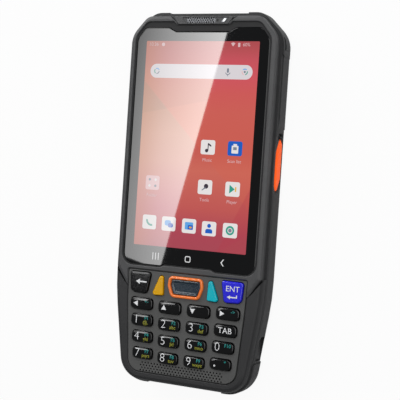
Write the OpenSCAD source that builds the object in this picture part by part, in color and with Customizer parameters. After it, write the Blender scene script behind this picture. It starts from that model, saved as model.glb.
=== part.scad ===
/* [Body] */
// Length over the end bumpers
body_l = 157.7; // [154:0.1:166]
// Width across the side walls, without the rails
body_w = 69.2; // [68.6:0.1:74]
// Thickness from the back to the front rim
body_t = 18; // [18:0.1:21]
// How far the bumpers and rails stand proud of the body
bumper_proud = 0.45; // [0.3:0.05:0.8]
// Wall of the rear housing
wall = 1.6; // [1.3:0.1:2]
// Thickness of the rubber between the side walls and the rear housing
rubber_t = 3; // [2.6:0.1:3.2]
// Setback of the bevelled head corners
head_bevel = 9.8; // [7:0.1:12]
// How much each side narrows towards the foot
foot_taper = 5.7; // [4:0.1:6]
// Radius of the foot corners
foot_r = 11; // [8:0.5:14]

/* [Display] */
// Side wall to the touch glass
glass_side_gap = 4.2; // [4:0.05:5]
// Thickness of the touch glass
glass_t = 1; // [0.8:0.1:1.3]
// Distance from the head edge to the glass
glass_head_gap = 6.55; // [6:0.05:7]
// Depth of the glass below the front rim
glass_sunk = 0.5; // [0.3:0.1:0.7]
// Black border beside the lit display
lcd_side = 4.48; // [3:0.01:6]
// Black border at the head of the lit display
lcd_head = 5.7; // [4:0.1:8]
// Black border at its foot, with the touch marks
lcd_foot = 8.3; // [7:0.1:11]

/* [Keypad] */
// Length of the keypad panel
keypad_l = 43; // [41:0.1:46]
// Seam to the first row of four
first_row = 14.2; // [13.8:0.1:15]
// Last row of four to the foot edge of the panel
last_row = 7.89; // [7.6:0.01:9]
// Space between two rows of caps
row_gap = 2.17; // [1.8:0.01:2.6]
// Space between two columns of caps
col_gap = 3.03; // [2.4:0.01:4]
// How far the caps stand above the panel
key_proud = 0.9; // [0.7:0.1:1.2]
// How far a key travels when it is pressed
key_travel = 0.6; // [0.3:0.1:0.6]
// Thickness of the keypad panel
panel_t = 1.6; // [1.4:0.1:1.8]
// Pitch of the sound holes
sound_pitch = 1.45; // [1.3:0.05:1.7]

/* [Controls] */
// Length of each side trigger
trigger_l = 21.3; // [18:0.1:24]
// Height of each side trigger
trigger_h = 7; // [5:0.1:7.4]
// Travel of each side trigger
trigger_travel = 0.75; // [0.4:0.05:0.8]

/* [Battery] */
// Side wall to the battery pack
pack_side_gap = 10.5; // [10.3:0.1:13]
// Head edge to the battery pack
pack_head_gap = 58.2; // [57.5:0.1:64]
// Foot edge to the battery pack
pack_foot_gap = 19.6; // [19.4:0.1:26]
// Height of the battery pack
pack_h = 7.4; // [6.5:0.1:7.5]
// Thickness of the battery cover
cover_t = 1.5; // [1.3:0.1:1.6]

/* [Port] */
// Width of the data port
port_w = 9.2; // [8.8:0.1:9.6]
// Height of the data port
port_h = 3.4; // [3.1:0.1:3.6]

/* [Hidden] */
arc_step = 11;           // largest turn of one facet on a rounded corner, degrees
skin = 0.02;             // thickness of one slice of a blended form
eps = 0.01;

// Clearances
fit_gap = 0.15;          // between fixed mouldings that lie side by side
key_gap = 0.25;          // round a key in its opening
slide_gap = 0.3;         // round a trigger or side key
cover_gap = 0.25;        // round the battery cover
pin_gap = 0.05;          // radial, hinge pins and lock shanks

// ---------- outlines ----------
// An outline is a clockwise list of [x, y, corner radius].
function unit(v) = v / norm(v);
function right_of(d) = [d[1], -d[0]];
function xy(p) = [p[0], p[1]];
function before(v, i) = xy(v[(i + len(v) - 1) % len(v)]);
function after(v, i) = xy(v[(i + 1) % len(v)]);
function turn_sign(a, b) = a[0] * b[1] - a[1] * b[0] <= 0 ? 1 : -1;

// Moves every side of an outline inwards by e
function inset(v, e) = [for (i = [0 : len(v) - 1])
    let (p = xy(v[i]), a = unit(p - before(v, i)), b = unit(after(v, i) - p),
         na = right_of(a), nb = right_of(b), s = turn_sign(a, b))
    let (q = p + (na + nb) * e / (1 + na * nb))
    [q[0], q[1], max(v[i][2] - s * e, 0.1)]];

// Turns an outline's corners into tangent arcs
function corner(p, a, b, r) =
    let (s = turn_sign(a, b), t = acos(max(-1, min(1, a * b))), start = p - a * r * tan(t / 2),
         c = start + right_of(a) * r * s, n = max(1, ceil(t / arc_step)), v = start - c)
    [for (k = [0 : n]) let (w = -s * t * k / n)
        [c[0] + v[0] * cos(w) - v[1] * sin(w), c[1] + v[0] * sin(w) + v[1] * cos(w)]];
function rounded(v) = [for (i = [0 : len(v) - 1])
    let (p = xy(v[i]), a = unit(p - before(v, i)), b = unit(after(v, i) - p))
    each (v[i][2] > 0 && abs(a[0] * b[1] - a[1] * b[0]) > 0.001 ? corner(p, a, b, v[i][2]) : [p])];

// Both halves from the right half, listed from head to foot
function both(v) = concat(v, [for (i = [len(v) - 1 : -1 : 0]) [-v[i][0], v[i][1], v[i][2]]]);
function box_outline(x0, x1, y0, y1, r) = [[x0, y1, r], [x1, y1, r], [x1, y0, r], [x0, y0, r]];
function shifted(v, x, y) = [for (p = v) [p[0] + x, p[1] + y, p[2]]];
function flipped(v) = [for (i = [len(v) - 1 : -1 : 0]) [-v[i][0], v[i][1], v[i][2]]];

module slab(v, z0, z1) translate([0, 0, z0]) linear_extrude(z1 - z0) polygon(rounded(v));
module block(x0, x1, y0, y1, z0, z1) translate([x0, y0, z0]) cube([x1 - x0, y1 - y0, z1 - z0]);
module both_sides() { children(); mirror([1, 0, 0]) children(); }
module disc(x, y, z0, z1, r, n = 48) translate([x, y, z0]) cylinder(h = z1 - z0, r = r, $fn = n);
// One blended solid through [height, inset] levels of an outline
module blended(v, levels) hull() for (l = levels) slab(inset(v, l[1]), l[0] - skin, l[0]);

// ---------- body ----------
hl = body_l / 2 - bumper_proud;
hw = body_w / 2;
part_z = body_t - 4.1;               // parting line of front and rear
head_r1 = 7;
head_r2 = 10;
side_r = 110;
taper_l = 39.9;                      // length of the narrowing grip
body_v = both([[hw - head_bevel, hl, head_r1], [hw, hl - head_bevel, head_r2],
    [hw, taper_l - hl, side_r], [hw - foot_taper, -hl, foot_r]]);
core_v = inset(body_v, rubber_t);
cavity_v = inset(core_v, wall);
back_edge_z = 1;                     // height of the back edge's bevel
side_levels = [[back_edge_z, rubber_t], [3.4, 1.2], [6.4, 0.2], [8, 0], [part_z - 1.2, 0], [part_z, 0.3]];

// ---------- front bezel and glass ----------
rim_z = body_t;
glass_z = rim_z - glass_sunk;
ledge_z = glass_z - glass_t;
bezel_side = 1.4;                    // side wall to the outside of the bezel
bezel_head = 1.75;                   // head edge to the outside of the bezel
rim_gap = 0.7;                       // glass to the rim at the sides
rim_head_gap = 2.4;                  // glass to the rim at the head
bezel_x = hw - bezel_side;
bezel_y = hl - bezel_head;
panel_foot = 4.55;                   // foot edge to the keypad panel
panel_y0 = -hl + panel_foot;
seam_y = panel_y0 + keypad_l;        // glass frame to the keypad
seam_gap = 2.3;                      // glass to the keypad seam
glass_x = hw - glass_side_gap;
glass_y1 = hl - glass_head_gap;
glass_y0 = seam_y + seam_gap;
tab_top_x = 14;                      // half width of the earpiece tab at the head
tab_low_x = 11.3;                    // half width of the earpiece tab near the glass
tab_dip = 1.4;                       // how far the tab pushes the rim towards the glass
foot_lift = 0.9;                     // raised middle of the glass's foot edge
glass_v = both([[12.2, glass_y1 - 1.7, 0.8], [15.6, glass_y1, 0.8], [glass_x - 3.8, glass_y1, 3],
    [glass_x, glass_y1 - 5, 4], [glass_x, glass_y0, 4.6], [12.8, glass_y0, 0.8], [10.6, glass_y0 + foot_lift,
        0.8]]);
rim_x = glass_x + rim_gap;
rim_y1 = glass_y1 + rim_head_gap;
rim_y0 = glass_y0 - 0.5;
rim_v = both([[tab_low_x + 0.6, rim_y1 - tab_dip, 0.8], [tab_low_x + 2.2, rim_y1, 0.8],
    [rim_x - 5.2, rim_y1, 4], [rim_x, rim_y1 - 6.35, 6], [rim_x, rim_y0, 5],
    [12.9, rim_y0, 0.8], [10.7, rim_y0 + foot_lift, 0.8]]);
tip_y = seam_y - 6.8;                // end of the bezel's pointed tips
bay_x = glass_x - 1.9;               // half width of the room below the glass
bay_v = both([[bay_x, glass_y1 - 2.6, 2], [bay_x, glass_y0 + 1.6, 3]]);

// ---------- keypad panel ----------
panel_top = rim_z - 0.4;
panel_low = panel_top - panel_t;
panel_x = hw - 7.2;
panel_v = both([[panel_x, seam_y, 0.6], [panel_x - 0.4, seam_y - 13.2, 20], [panel_x - 2.7, panel_y0, 5.5]]);
skirt_t = 0.7;
flange_grow = 0.4;                   // key flange beyond its cap
flange_top = panel_low - 0.1;
flange_z = flange_top - 0.6;
cap_top = panel_top + key_proud;

// Keys in four columns: the columns close up and the caps shrink towards the foot
col_out = panel_x - 7.4;
col_in = col_out / 3;
key_w = col_out - col_in - col_gap;  // a cap in the first row of four
row_pitch = (keypad_l - first_row - last_row) / 3;
key_h = row_pitch - row_gap;
inner_drop = 0.5;                    // middle columns sit lower
function key_x(c, r) = (c < 2 ? -1 : 1) * (c == 0 || c == 3 ? col_out - 0.62 * r : col_in - 0.19 * r);
function key_y(c, r) = seam_y - first_row - row_pitch * r - (c == 1 || c == 2 ? inner_drop + 0.1 * r : 0);
function key_outline(c, r) = let (w = (key_w - 0.33 * r) / 2, h = (key_h - 0.13 * r) / 2)
    shifted(box_outline(-w, w, -h, h, 0.62 * h), key_x(c, r), key_y(c, r));
// The top row is drawn for a panel 27.4 to each side and a row 14.2 long, and stretches with both
top_u = panel_x / 27.4;
top_v = first_row / 14.2;
function top_row(v) = [for (p = v) [p[0] * top_u, seam_y + p[1] * top_v, p[2]]];
corner_key_v = top_row([[16.3, -0.75, 1], [26.2, -0.95, 1.2], [25.6, -9.4, 2.2], [17.9, -9.8, 1.6]]);
blade_key_v = top_row([[10.5, -1.9, 0.9], [12, -1.5, 0.9], [15.2, -9.2, 1], [14.3, -10, 0.8],
    [10.1, -9.8, 0.8]]);
ring_v = top_row(both([[7.7, -1.2, 2], [8.2, -5.2, 3], [6.5, -10.1, 2.4]]));
ring_w = 1.15;
scan_key_v = inset(ring_v, ring_w + key_gap);
PAD_KEYS = [["key_left", 0, 0], ["key_up", 1, 0], ["key_down", 2, 0], ["key_right", 3, 0],
    ["key_1", 0, 1], ["key_2", 1, 1], ["key_3", 2, 1], ["key_tab", 3, 1],
    ["key_4", 0, 2], ["key_5", 1, 2], ["key_6", 2, 2], ["key_0", 3, 2],
    ["key_7", 0, 3], ["key_8", 1, 3], ["key_9", 2, 3], ["key_point", 3, 3]];
crown = 0.7;                         // how far the rounded edge of a cap reaches inwards
blade_crown = 0.5;
TOP_KEYS = [["key_back", flipped(corner_key_v), "#141416", crown],
    ["key_amber", flipped(blade_key_v), "#e1a514", blade_crown], ["key_scan", scan_key_v, "#1a2430", 0],
    ["key_teal", blade_key_v, "#00a0aa", blade_crown], ["key_enter", corner_key_v, "#2020d8", crown]];
sound_rows = 4;
sound_r = 0.33;
sound_x = panel_x - 7.2;             // half width of the sound holes
sound_y = panel_y0 + 0.65;

// ---------- inside ----------
pack_z = cover_t;
stack_gap = 0.6;                     // between the pack, the bay's roof and the main board
roof_z = pack_z + pack_h + stack_gap; // underside of the battery bay's roof
roof_t = 1.3;
board_z = roof_z + roof_t + stack_gap; // underside of the main board
board_t = 0.8;
keyboard_z = part_z - 1;             // underside of the key board
pack_x = hw - pack_side_gap;
pack_y1 = hl - pack_head_gap;
pack_y0 = -hl + pack_foot_gap;
bay_w = pack_x + 0.4;
bay_wall = 1.7;
bay_y1 = pack_y1 + 0.8;              // room for the terminals at the head end
bay_y0 = pack_y0 - 0.6;
cover_over = 3;                      // cover beyond the bay at the sides
cover_y1 = bay_y1 + 2.7;
cover_y0 = bay_y0 - 7;
hinge_y = cover_y1 - 0.3;
hinge_z = 1;
hook_x = bay_w - 9.5;
hook_w = 5;
terminal_x = 4.1 - pack_x;            // left end of the four terminals
lock_x = bay_w - 7.5;
lock_y = cover_y0 + 3.4;
lock_r = 1.3;
lock_head_r = 2.5;
lock_top = 5;
screw_r = 0.7;
screw_head_r = 1.35;
SCREWS = [[hw - 5.1, hl - 18.5], [hw - 5.1, seam_y + 6], [hw - 11.9, 8.2 - hl]];
screw_top = [ledge_z - 0.5, ledge_z - 0.5, panel_low - 0.3];

// ---------- head end ----------
window_x = hw - 21.6;
window_z0 = 3.2;
window_z1 = part_z - 2.8;
window_t = 1.2;
window_sunk = 1;
engine_x = window_x - 2;
engine_l = 13.5;
engine_y1 = hl - rubber_t - wall - 0.3;
engine_y0 = engine_y1 - engine_l;
camera_p = [16.1 - hw, hl - 20];
camera_r = 4.6;
flash_p = [16.1 - hw, hl - 30];
flash_r = 2.2;
slot_y1 = hl - 2.35;                 // earpiece slot in the tab
slot_y0 = slot_y1 - 2.4;

// ---------- side controls ----------
trigger_y = hl - 61.5;
trigger_z = 9.25;
trigger_lip = 0.7;                   // rubber left round the trigger at its scoop
scoop_depth = 0.7;
scoop_l = 30;
scoop_r = (scoop_l * scoop_l / 4 + scoop_depth * scoop_depth) / (2 * scoop_depth);
plate_t = 0.55;                      // retaining plate behind a side key
plate_x = hw - scoop_depth - trigger_lip - 0.2;
core_x = hw - rubber_t;
switch_x = bay_w + bay_wall;
power_y = hl - 24.5;
power_l = 7;
rocker_y = hl - 37;
rocker_l = 13;
side_key_h = 3.6;
side_key_z = 9;
side_key_travel = 0.4;

// ---------- foot end ----------
port_z = 8.6;
port_y1 = -hl + 9;                   // inner end of the port
port_y0 = -hl + 1.8;                 // mouth of the port
flap_x = 8;
flap_z1 = 12.4;
flap_t = 1.6;
hinge_pin_y = -hl + 1.75;
hinge_pin_z = 5;
hinge_pin_r = 0.45;
knuckle_r = 0.9;

// ================= front =================
// The head part of the bezel as one convex form, before its two pointed tips are cut
bezel_block_v = both([[bezel_x - 7.2, bezel_y, 5], [bezel_x, bezel_y - 8.15, 9.5], [bezel_x, tip_y, 0.6]]);
bezel_v = both([[bezel_x - 7.2, bezel_y, 5], [bezel_x, bezel_y - 8.15, 9.5], [bezel_x, seam_y + 0.95, 0.6],
    [bezel_x - 5.2, tip_y, 0.3]]);

module front_bezel() color("#4b4b4c") difference() {
    intersection() {
        blended(bezel_block_v, [[part_z + skin, 0], [rim_z - 0.45, 0], [rim_z, 0.45]]);
        slab(bezel_v, part_z, rim_z);
    }
    slab(inset(panel_v, -fit_gap), part_z - 1, rim_z + 1);
    // glass, its seal and the room for the display
    slab(rim_v, ledge_z, rim_z + 1);
    slab(bay_v, part_z - 1, rim_z);
    // room for the earpiece tab with a groove beside it, and the receiver pocket
    slab(tab_room_v, tab_z, rim_z + 1);
    slab(tab_groove_v, rim_z - 0.8, rim_z + 1);
    block(-7.2, 7.2, slot_y0 - 0.6, slot_y1 + 0.4, part_z - 1, rim_z);
    for (i = [0, 1]) both_sides() disc(SCREWS[i][0], SCREWS[i][1], part_z - 1, screw_top[i] + 0.1, screw_r);
}

tab_z = rim_z - 1.2;
tab_v = both([[tab_top_x, bezel_y - 0.2, 0.5], [tab_low_x, rim_y1 - tab_dip + 0.3, 0.9]]);
// The room runs out through the head edge, and the groove widens towards it
tab_room_v = both([[tab_top_x + 1.05, bezel_y + 1, 0.3], [tab_low_x + 0.17, rim_y1 - tab_dip + 0.3 - fit_gap,
    0.9]]);
tab_groove_v = both([[tab_top_x + 3.4, bezel_y + 1, 0.3], [tab_low_x - 0.1, rim_y1 - 0.65, 0.3]]);
tab_slot_v = shifted(both([[11, slot_y1, 0.4], [8.6, slot_y0, 0.6]]), 1.2, 0);

module earpiece_plate() color("#3c3c3e") difference() {
    slab(tab_v, tab_z, rim_z);
    slab(tab_slot_v, rim_z - 0.35, rim_z + 1);
    // sound holes in the left of the slot, sensor beside them
    for (r = [0 : 2], c = [0 : 11]) translate([-6.9 + c * 1.05 + (r % 2) * 0.5, slot_y0 + 0.4 + r * 0.8,
        tab_z - 1])
        cylinder(h = 4, r = 0.26, $fn = 8);
    disc(6.5, slot_y0 + 1.2, tab_z - 1, rim_z, 0.5, 24);
    slab(inset(light_v, -0.05), tab_z - 1, rim_z + 1);
}

light_v = [[9.4, slot_y1 - 0.3, 0.2], [11, slot_y1 - 0.3, 0.2], [9.7, slot_y0 + 0.3, 0.2],
    [8.1, slot_y0 + 0.3, 0.2]];
module status_light() color("white") slab(light_v, tab_z, rim_z - 0.15);

module earpiece_receiver() color("silver") union() {
    block(-6, 6, slot_y0 - 0.2, slot_y1, part_z + 0.1, tab_z - 0.4);
    block(-5, 5, slot_y0 + 0.4, slot_y1 - 0.6, tab_z - 0.4, tab_z - 0.1);
}

module touch_glass() color("#101012") slab(glass_v, ledge_z, glass_z);

module glass_seal() color("#1c1c1d") difference() {
    slab(inset(rim_v, 0.05), ledge_z, glass_z + 0.1);
    slab(inset(glass_v, -0.05), ledge_z - 1, rim_z);
}

lcd_x = glass_x - lcd_side;          // lit display
lcd_y0 = glass_y0 + lcd_foot;
lcd_y1 = glass_y1 - lcd_head;
lcd_y = (lcd_y0 + lcd_y1) / 2;
lcd_rim = 2.2;                       // the panel's own unlit border
frame_t = 0.8;
module display_panel() color("#802838")
    slab(box_outline(-lcd_x - lcd_rim, lcd_x + lcd_rim, lcd_y0 - 4.6, lcd_y1 + lcd_rim, 0.8),
        part_z + frame_t, ledge_z);

module display_frame() color("silver") difference() {
    slab(inset(bay_v, slide_gap), part_z, part_z + frame_t);
    // two lightening pockets in its back
    for (y = [lcd_y0 + 10, lcd_y + 14.8]) slab(box_outline(-12, 12, y, y + 18.4, 2), part_z - 1,
        part_z + frame_t - 0.35);
}

// ================= keypad =================
module sound_holes(z0, z1) for (r = [0 : sound_rows - 1]) let (n = floor(sound_x / sound_pitch))
    for (c = [-n : n - r % 2]) translate([(c + (r % 2) / 2) * sound_pitch, sound_y + r * 1.1, z0])
        cylinder(h = z1 - z0, r = sound_r, $fn = 8);

module keypad_panel() color("#585859") difference() {
    union() {
        difference() {
            blended(panel_v, [[part_z + skin, 0], [panel_top - 0.25, 0], [panel_top, 0.25]]);
            slab(inset(panel_v, skirt_t), part_z - 1, panel_low);
        }
        both_sides() disc(SCREWS[2][0], SCREWS[2][1], part_z, panel_low + eps, 1.6);
    }
    for (k = TOP_KEYS) if (k[0] != "key_scan") slab(inset(k[1], -key_gap), panel_low - 1, cap_top);
    slab(ring_v, panel_low - 1, cap_top);
    for (k = PAD_KEYS) slab(inset(key_outline(k[1], k[2]), -key_gap), panel_low - 1, cap_top);
    sound_holes(panel_low - 1, cap_top);
    both_sides() disc(SCREWS[2][0], SCREWS[2][1], part_z - 1, screw_top[2] + 0.1, screw_r);
}

module scan_ring() color("#f07a28") difference() {
    blended(ring_v, [[panel_low + skin, 0], [cap_top - 0.5, 0], [cap_top, 0.4]]);
    slab(inset(ring_v, ring_w), panel_low - 1, cap_top + 1);
}

// The flange that keeps a cap in its opening, inside the panel's skirt
module flange(v) intersection() {
    slab(inset(v, -flange_grow), flange_z, flange_top);
    slab(inset(panel_v, skirt_t + 0.2), flange_z - 1, cap_top);
}
// A cap with a crowned edge on its flange
module key_cap(v, edge = crown) {
    flange(v);
    slab(v, flange_top - eps, cap_top - 0.6);
    blended(v, [[cap_top - 0.6, 0], [cap_top - 0.2, 0.2], [cap_top, edge]]);
}
module scan_key(v) difference() {
    union() {
        flange(v);
        slab(v, flange_top - eps, cap_top - 0.5);
    }
    slab(inset(v, 0.8), cap_top - 0.9, cap_top);
}

mat_t = 0.5;
sound_h = 5.4;                       // foot end of the panel kept for the loudspeaker
module key_mat() color("#303032") {
    difference() {
        slab(inset(panel_v, skirt_t + 0.3), part_z, part_z + mat_t);
        block(-hw, hw, -hl, panel_y0 + sound_h, part_z - 1, rim_z);
    }
    for (k = PAD_KEYS) disc(key_x(k[1], k[2]), key_y(k[1], k[2]), part_z + mat_t - eps, dome_top, 1.6, 24);
    for (x = [-21.5, -12.5, 0, 12.5, 21.5]) disc(x * top_u, seam_y - 5.6 * top_v, part_z + mat_t - eps,
        dome_top, 1.6, 24);
}
dome_top = flange_z - key_travel - 0.1;

// The board under the keys, with the microphone at its foot
module key_board() color("#1f5a34") difference() {
    union() {
        slab(inset(panel_v, 0.1), keyboard_z, part_z);
        block(12.5, 15.5, panel_y0 + 1.4, panel_y0 + 3.7, part_z - eps, part_z + 1.1);
    }
    both_sides() disc(SCREWS[2][0], SCREWS[2][1], keyboard_z - 1, part_z + 1, screw_r + 0.3);
}

// ================= rubber and rear housing =================
module x_slab(v, x0, x1) translate([x0, 0, 0]) rotate([90, 0, 90]) linear_extrude(x1 - x0) polygon(rounded(v));
module y_slab(v, y0, y1) translate([0, y1, 0]) rotate([90, 0, 0]) linear_extrude(y1 - y0) polygon(rounded(v));
module x_disc(y, z, x0, x1, r) translate([x0, y, z]) rotate([0, 90, 0]) cylinder(h = x1 - x0, r = r, $fn = 32);

// Side outlines are in the plane of Y and Z
trigger_v = shifted([[-trigger_l / 2 + 2, trigger_h / 2, 2], [trigger_l / 2 - 3.5, trigger_h / 2, 2.5],
    [trigger_l / 2, 1, 1.2], [trigger_l / 2, -1.4, 1.2], [trigger_l / 2 - 2, -trigger_h / 2, 2],
    [-trigger_l / 2 + 3, -trigger_h / 2, 2.5], [-trigger_l / 2, -1, 1.2], [-trigger_l / 2, 1.4, 1.2]],
    trigger_y, trigger_z);
function side_key_v(y, l) = shifted(box_outline(-l / 2, l / 2, -side_key_h / 2, side_key_h / 2, 1.4), y,
    side_key_z);
power_v = side_key_v(power_y, power_l);
rocker_v = side_key_v(rocker_y, rocker_l);
plate_grow = 0.7;
rocker_back = 0.3;                   // the rocker's plate sits deeper, so that it can tilt

// Opening and pocket for a side key and its plate
module key_pocket(v) {
    x_slab(inset(v, -slide_gap), core_x - 1, hw + 3);
    x_slab(inset(v, -plate_grow - slide_gap), core_x - eps, plate_x + 0.2);
}
lip_levels = [[part_z + skin, 0.3], [part_z + 1.7, 0.6], [panel_top - 0.9, 1.05], [panel_top - 0.4, 1.6],
    [panel_top - 0.1, 2.6]];
window_v = box_outline(-window_x, window_x, window_z0, window_z1, 1.2);
port_v = box_outline(-port_w / 2, port_w / 2, port_z - port_h / 2, port_z + port_h / 2, port_h / 2 - 0.1);
flap_v = box_outline(-flap_x, flap_x, hinge_pin_z, flap_z1, 1.2);
notch_y = seam_y - 23;               // clip-on grip notch in each side
notch_v = shifted([[-3.6, 4.2, 0.8], [2.2, 4.2, 0.8], [3.6, 2, 0.8], [3.6, -2.6, 0.8], [2.2, -4.2, 0.8],
    [-3.6, -4.2, 0.8]], notch_y, 8);
bumper_x = hw - 16.2;                    // inner end of each corner bumper
bumper_l = 17.6;                     // length of a head bumper along the side
rail_y0 = trigger_y + trigger_l / 2 + 3.95;

module side_rubber() color("#262627") difference() {
    union() {
        blended(body_v, side_levels);
        intersection() {
            blended(inset(body_v, -bumper_proud), side_levels);
            both_sides() {
                block(bumper_x, hw + 2, hl - bumper_l, hl + 2, 1.6, part_z - 0.5);
                block(bumper_x - 1, hw + 2, -hl - 2, -hl + 13.5, 1.6, part_z - 0.5);
                block(hw - 5, hw + 2, rail_y0, hl - bumper_l - 1.6, 4, part_z - 1.2);
            }
        }
        intersection() {
            blended(body_v, lip_levels);
            block(-hw, hw, -hl, seam_y + 0.95, part_z - 1, rim_z);
        }
    }
    slab(core_v, -1, part_z + skin);
    slab(inset(panel_v, -fit_gap), 0, rim_z);
    slab(inset(bezel_v, -fit_gap), part_z, rim_z);
    // scoops and openings for the side keys
    both_sides() translate([hw - scoop_depth + scoop_r, trigger_y, 2.5])
        cylinder(h = rim_z, r = scoop_r, $fn = 180);
    both_sides() key_pocket(trigger_v);
    mirror([1, 0, 0]) {
        key_pocket(power_v);
        key_pocket(rocker_v);
        x_slab(inset(side_key_v((power_y + rocker_y) / 2, power_y - rocker_y + (power_l + rocker_l) / 2), -1.3),
            hw, hw + 2);
    }
    both_sides() x_slab(notch_v, hw - 2.2 - foot_taper * 0.45, hw + 2);
    both_sides() block(hw - 0.35, hw + 2, hl - bumper_l + 2.5, hl - bumper_l + 8, part_z - 2.9, part_z - 1.5);
    // scan window on its step
    y_slab(inset(window_v, 0.9), hl - rubber_t - 1, hl + 2);
    y_slab(inset(window_v, -fit_gap), hl - window_sunk - window_t, hl + 2);
    // port, its flap, the flap's knuckle and pin
    y_slab(inset(port_v, -fit_gap), -hl - 2, -hl + rubber_t + 1);
    y_slab(inset(flap_v, -0.2), -hl - 2, hinge_pin_y);
    // room for the flap's foot as it swings down
    block(-flap_x - 0.2, flap_x + 0.2, -hl - 2, hinge_pin_y + 0.15, hinge_pin_z - 1.9, hinge_pin_z);
    x_disc(hinge_pin_y, hinge_pin_z, -flap_x - 0.2, flap_x + 0.2, knuckle_r + 0.4);
    x_disc(hinge_pin_y, hinge_pin_z, -flap_x - 1.8, flap_x + 1.8, hinge_pin_r + pin_gap);
}

cover_x = bay_w + cover_over;
cover_v = both([[cover_x, cover_y1, 1.5], [cover_x, cover_y0 + 22, 20], [cover_x - 4.5, cover_y0, 5]]);
ledge_top = cover_t + 1.7;

module rear_housing() color("#2f2f31") difference() {
    union() {
        difference() {
            union() {
                slab(core_v, back_edge_z, part_z);
                blended(core_v, [[skin, 0.5], [back_edge_z + eps, 0]]);
            }
            slab(cavity_v, wall, part_z + 1);
        }
        // battery bay with the ledge that its cover seats on
        block(-bay_w - bay_wall, bay_w + bay_wall, bay_y0 - bay_wall, bay_y1 + bay_wall, wall - eps,
            roof_z + roof_t);
        slab(inset(cover_v, -cover_gap - 1.5), 0, ledge_top);
        // bosses for the screws and the cover's locks, posts for the two boards
        both_sides() {
            for (s = SCREWS) disc(s[0], s[1], 0.2, s[1] < seam_y ? keyboard_z : part_z, 2.1);
            disc(lock_x, lock_y, 0.2, lock_top + 1.2, 3.2);
            for (y = [bay_y1 - 6, seam_y + 14]) disc(bay_w - 4.5, y, roof_z, board_z, 1.8);
            disc(bay_w - 4.5, seam_y - 9, roof_z, keyboard_z, 1.8);
            disc(hw - 11.6, hl - 29, wall - eps, board_z, 1.8);
        }
    }
    // battery, cover, hooks and locks
    block(-bay_w, bay_w, bay_y0, bay_y1, -1, roof_z);
    slab(inset(cover_v, -cover_gap), -1, wall + 0.06);
    block(-bay_w - 1, bay_w + 1, bay_y0 + 3, bay_y1 - 1, -1, cover_t + 0.2);
    both_sides() {
        block(hook_x - hook_w / 2 - 0.4, hook_x + hook_w / 2 + 0.4, bay_y1 - 0.5, hinge_y + 2.6, wall + 0.05,
            3.9);
        disc(lock_x, lock_y, 0, lock_top + 0.3, lock_r + 0.5);
        disc(lock_x, lock_y, 0, cover_t + 0.95, lock_head_r + 0.4);
    }
    block(terminal_x - 0.2, terminal_x + 12.2, bay_y1 - 1, bay_y1 + 1.2, 3.8, 8.2);
    // camera, flash and cradle contacts in the back
    disc(camera_p[0], camera_p[1], -1, 1.3, camera_r + 0.1);
    disc(camera_p[0], camera_p[1], -1, wall + 1, camera_r - 1.1);
    disc(flash_p[0], flash_p[1], -1, wall + 1, flash_r + 0.1, 32);
    for (x = CONTACT_X) block(x - 1, x + 1, contact_y - 1.7, contact_y + 1.7, -1, wall + 1);
    both_sides() for (i = [0 : 2]) {
        disc(SCREWS[i][0], SCREWS[i][1], -1, part_z + 1, screw_r + 0.2, 24);
        disc(SCREWS[i][0], SCREWS[i][1], -1, screw_seat, screw_head_r + 0.15, 32);
    }
    // seal groove in the upper edge
    difference() {
        slab(inset(core_v, 0.45), part_z - 0.6, part_z + 1);
        slab(inset(core_v, 1.1), part_z - 1, part_z + 2);
    }
    // plungers, scan window and port
    both_sides() x_disc(trigger_y, trigger_z, core_x - wall - 2, hw, 1.35);
    mirror([1, 0, 0]) {
        x_disc(power_y, side_key_z, core_x - wall - 2, hw, 1.1);
        for (d = [-3.8, 3.8]) x_disc(rocker_y + d, side_key_z, core_x - wall - 2, hw, 1.1);
    }
    y_slab(inset(window_v, 1.4), engine_y1, hl);
    y_slab(inset(port_v, -fit_gap), -hl, -hl + rubber_t + wall + 2);
}
CONTACT_X = [-6, -2, 2, 6];
contact_y = -hl + 8.2;
screw_seat = 1.9;

module case_seal() color("#c8641e") difference() {
    slab(inset(core_v, 0.5), part_z - 0.6, part_z);
    slab(inset(core_v, 1.05), part_z - 1, part_z + 1);
}

// ================= side keys =================
module side_key(v, out, plungers, back = 0, r = 1) {
    rotate([90, 0, 90]) blended(v, [[plate_x - back - 0.2, 0], [out - 0.6, 0], [out - 0.15, 0.4], [out, 1.1]]);
    x_slab(inset(v, -plate_grow), plate_x - back - plate_t, plate_x - back);
    for (y = plungers) x_disc(y[0], y[1], core_x - wall - 0.7, plate_x - back - plate_t + eps, r);
}
key_out = hw + bumper_proud - 0.05;
module trigger() color("#ff6a1f") side_key(trigger_v, hw + 0.2, [[trigger_y, trigger_z]]);
module trigger_right() trigger();
module trigger_left() mirror([1, 0, 0]) trigger();
module power_key() color("#2c2c2e") mirror([1, 0, 0]) side_key(power_v, key_out, [[power_y, side_key_z]], 0,
    0.75);
module volume_rocker() color("#2c2c2e") mirror([1, 0, 0])
    side_key(rocker_v, key_out, [for (d = [-3.8, 3.8]) [rocker_y + d, side_key_z]], rocker_back, 0.75);

module switch_box(y) block(switch_x + 0.1, core_x - wall - 1.6, y - 2.6, y + 2.6, side_key_z - 2, board_z);
module side_switches() color("#b0b0b4") {
    switch_box(trigger_y);
    mirror([1, 0, 0]) {
        switch_box(trigger_y);
        switch_box(power_y);
        for (d = [-3.8, 3.8]) switch_box(rocker_y + d);
    }
}

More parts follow.
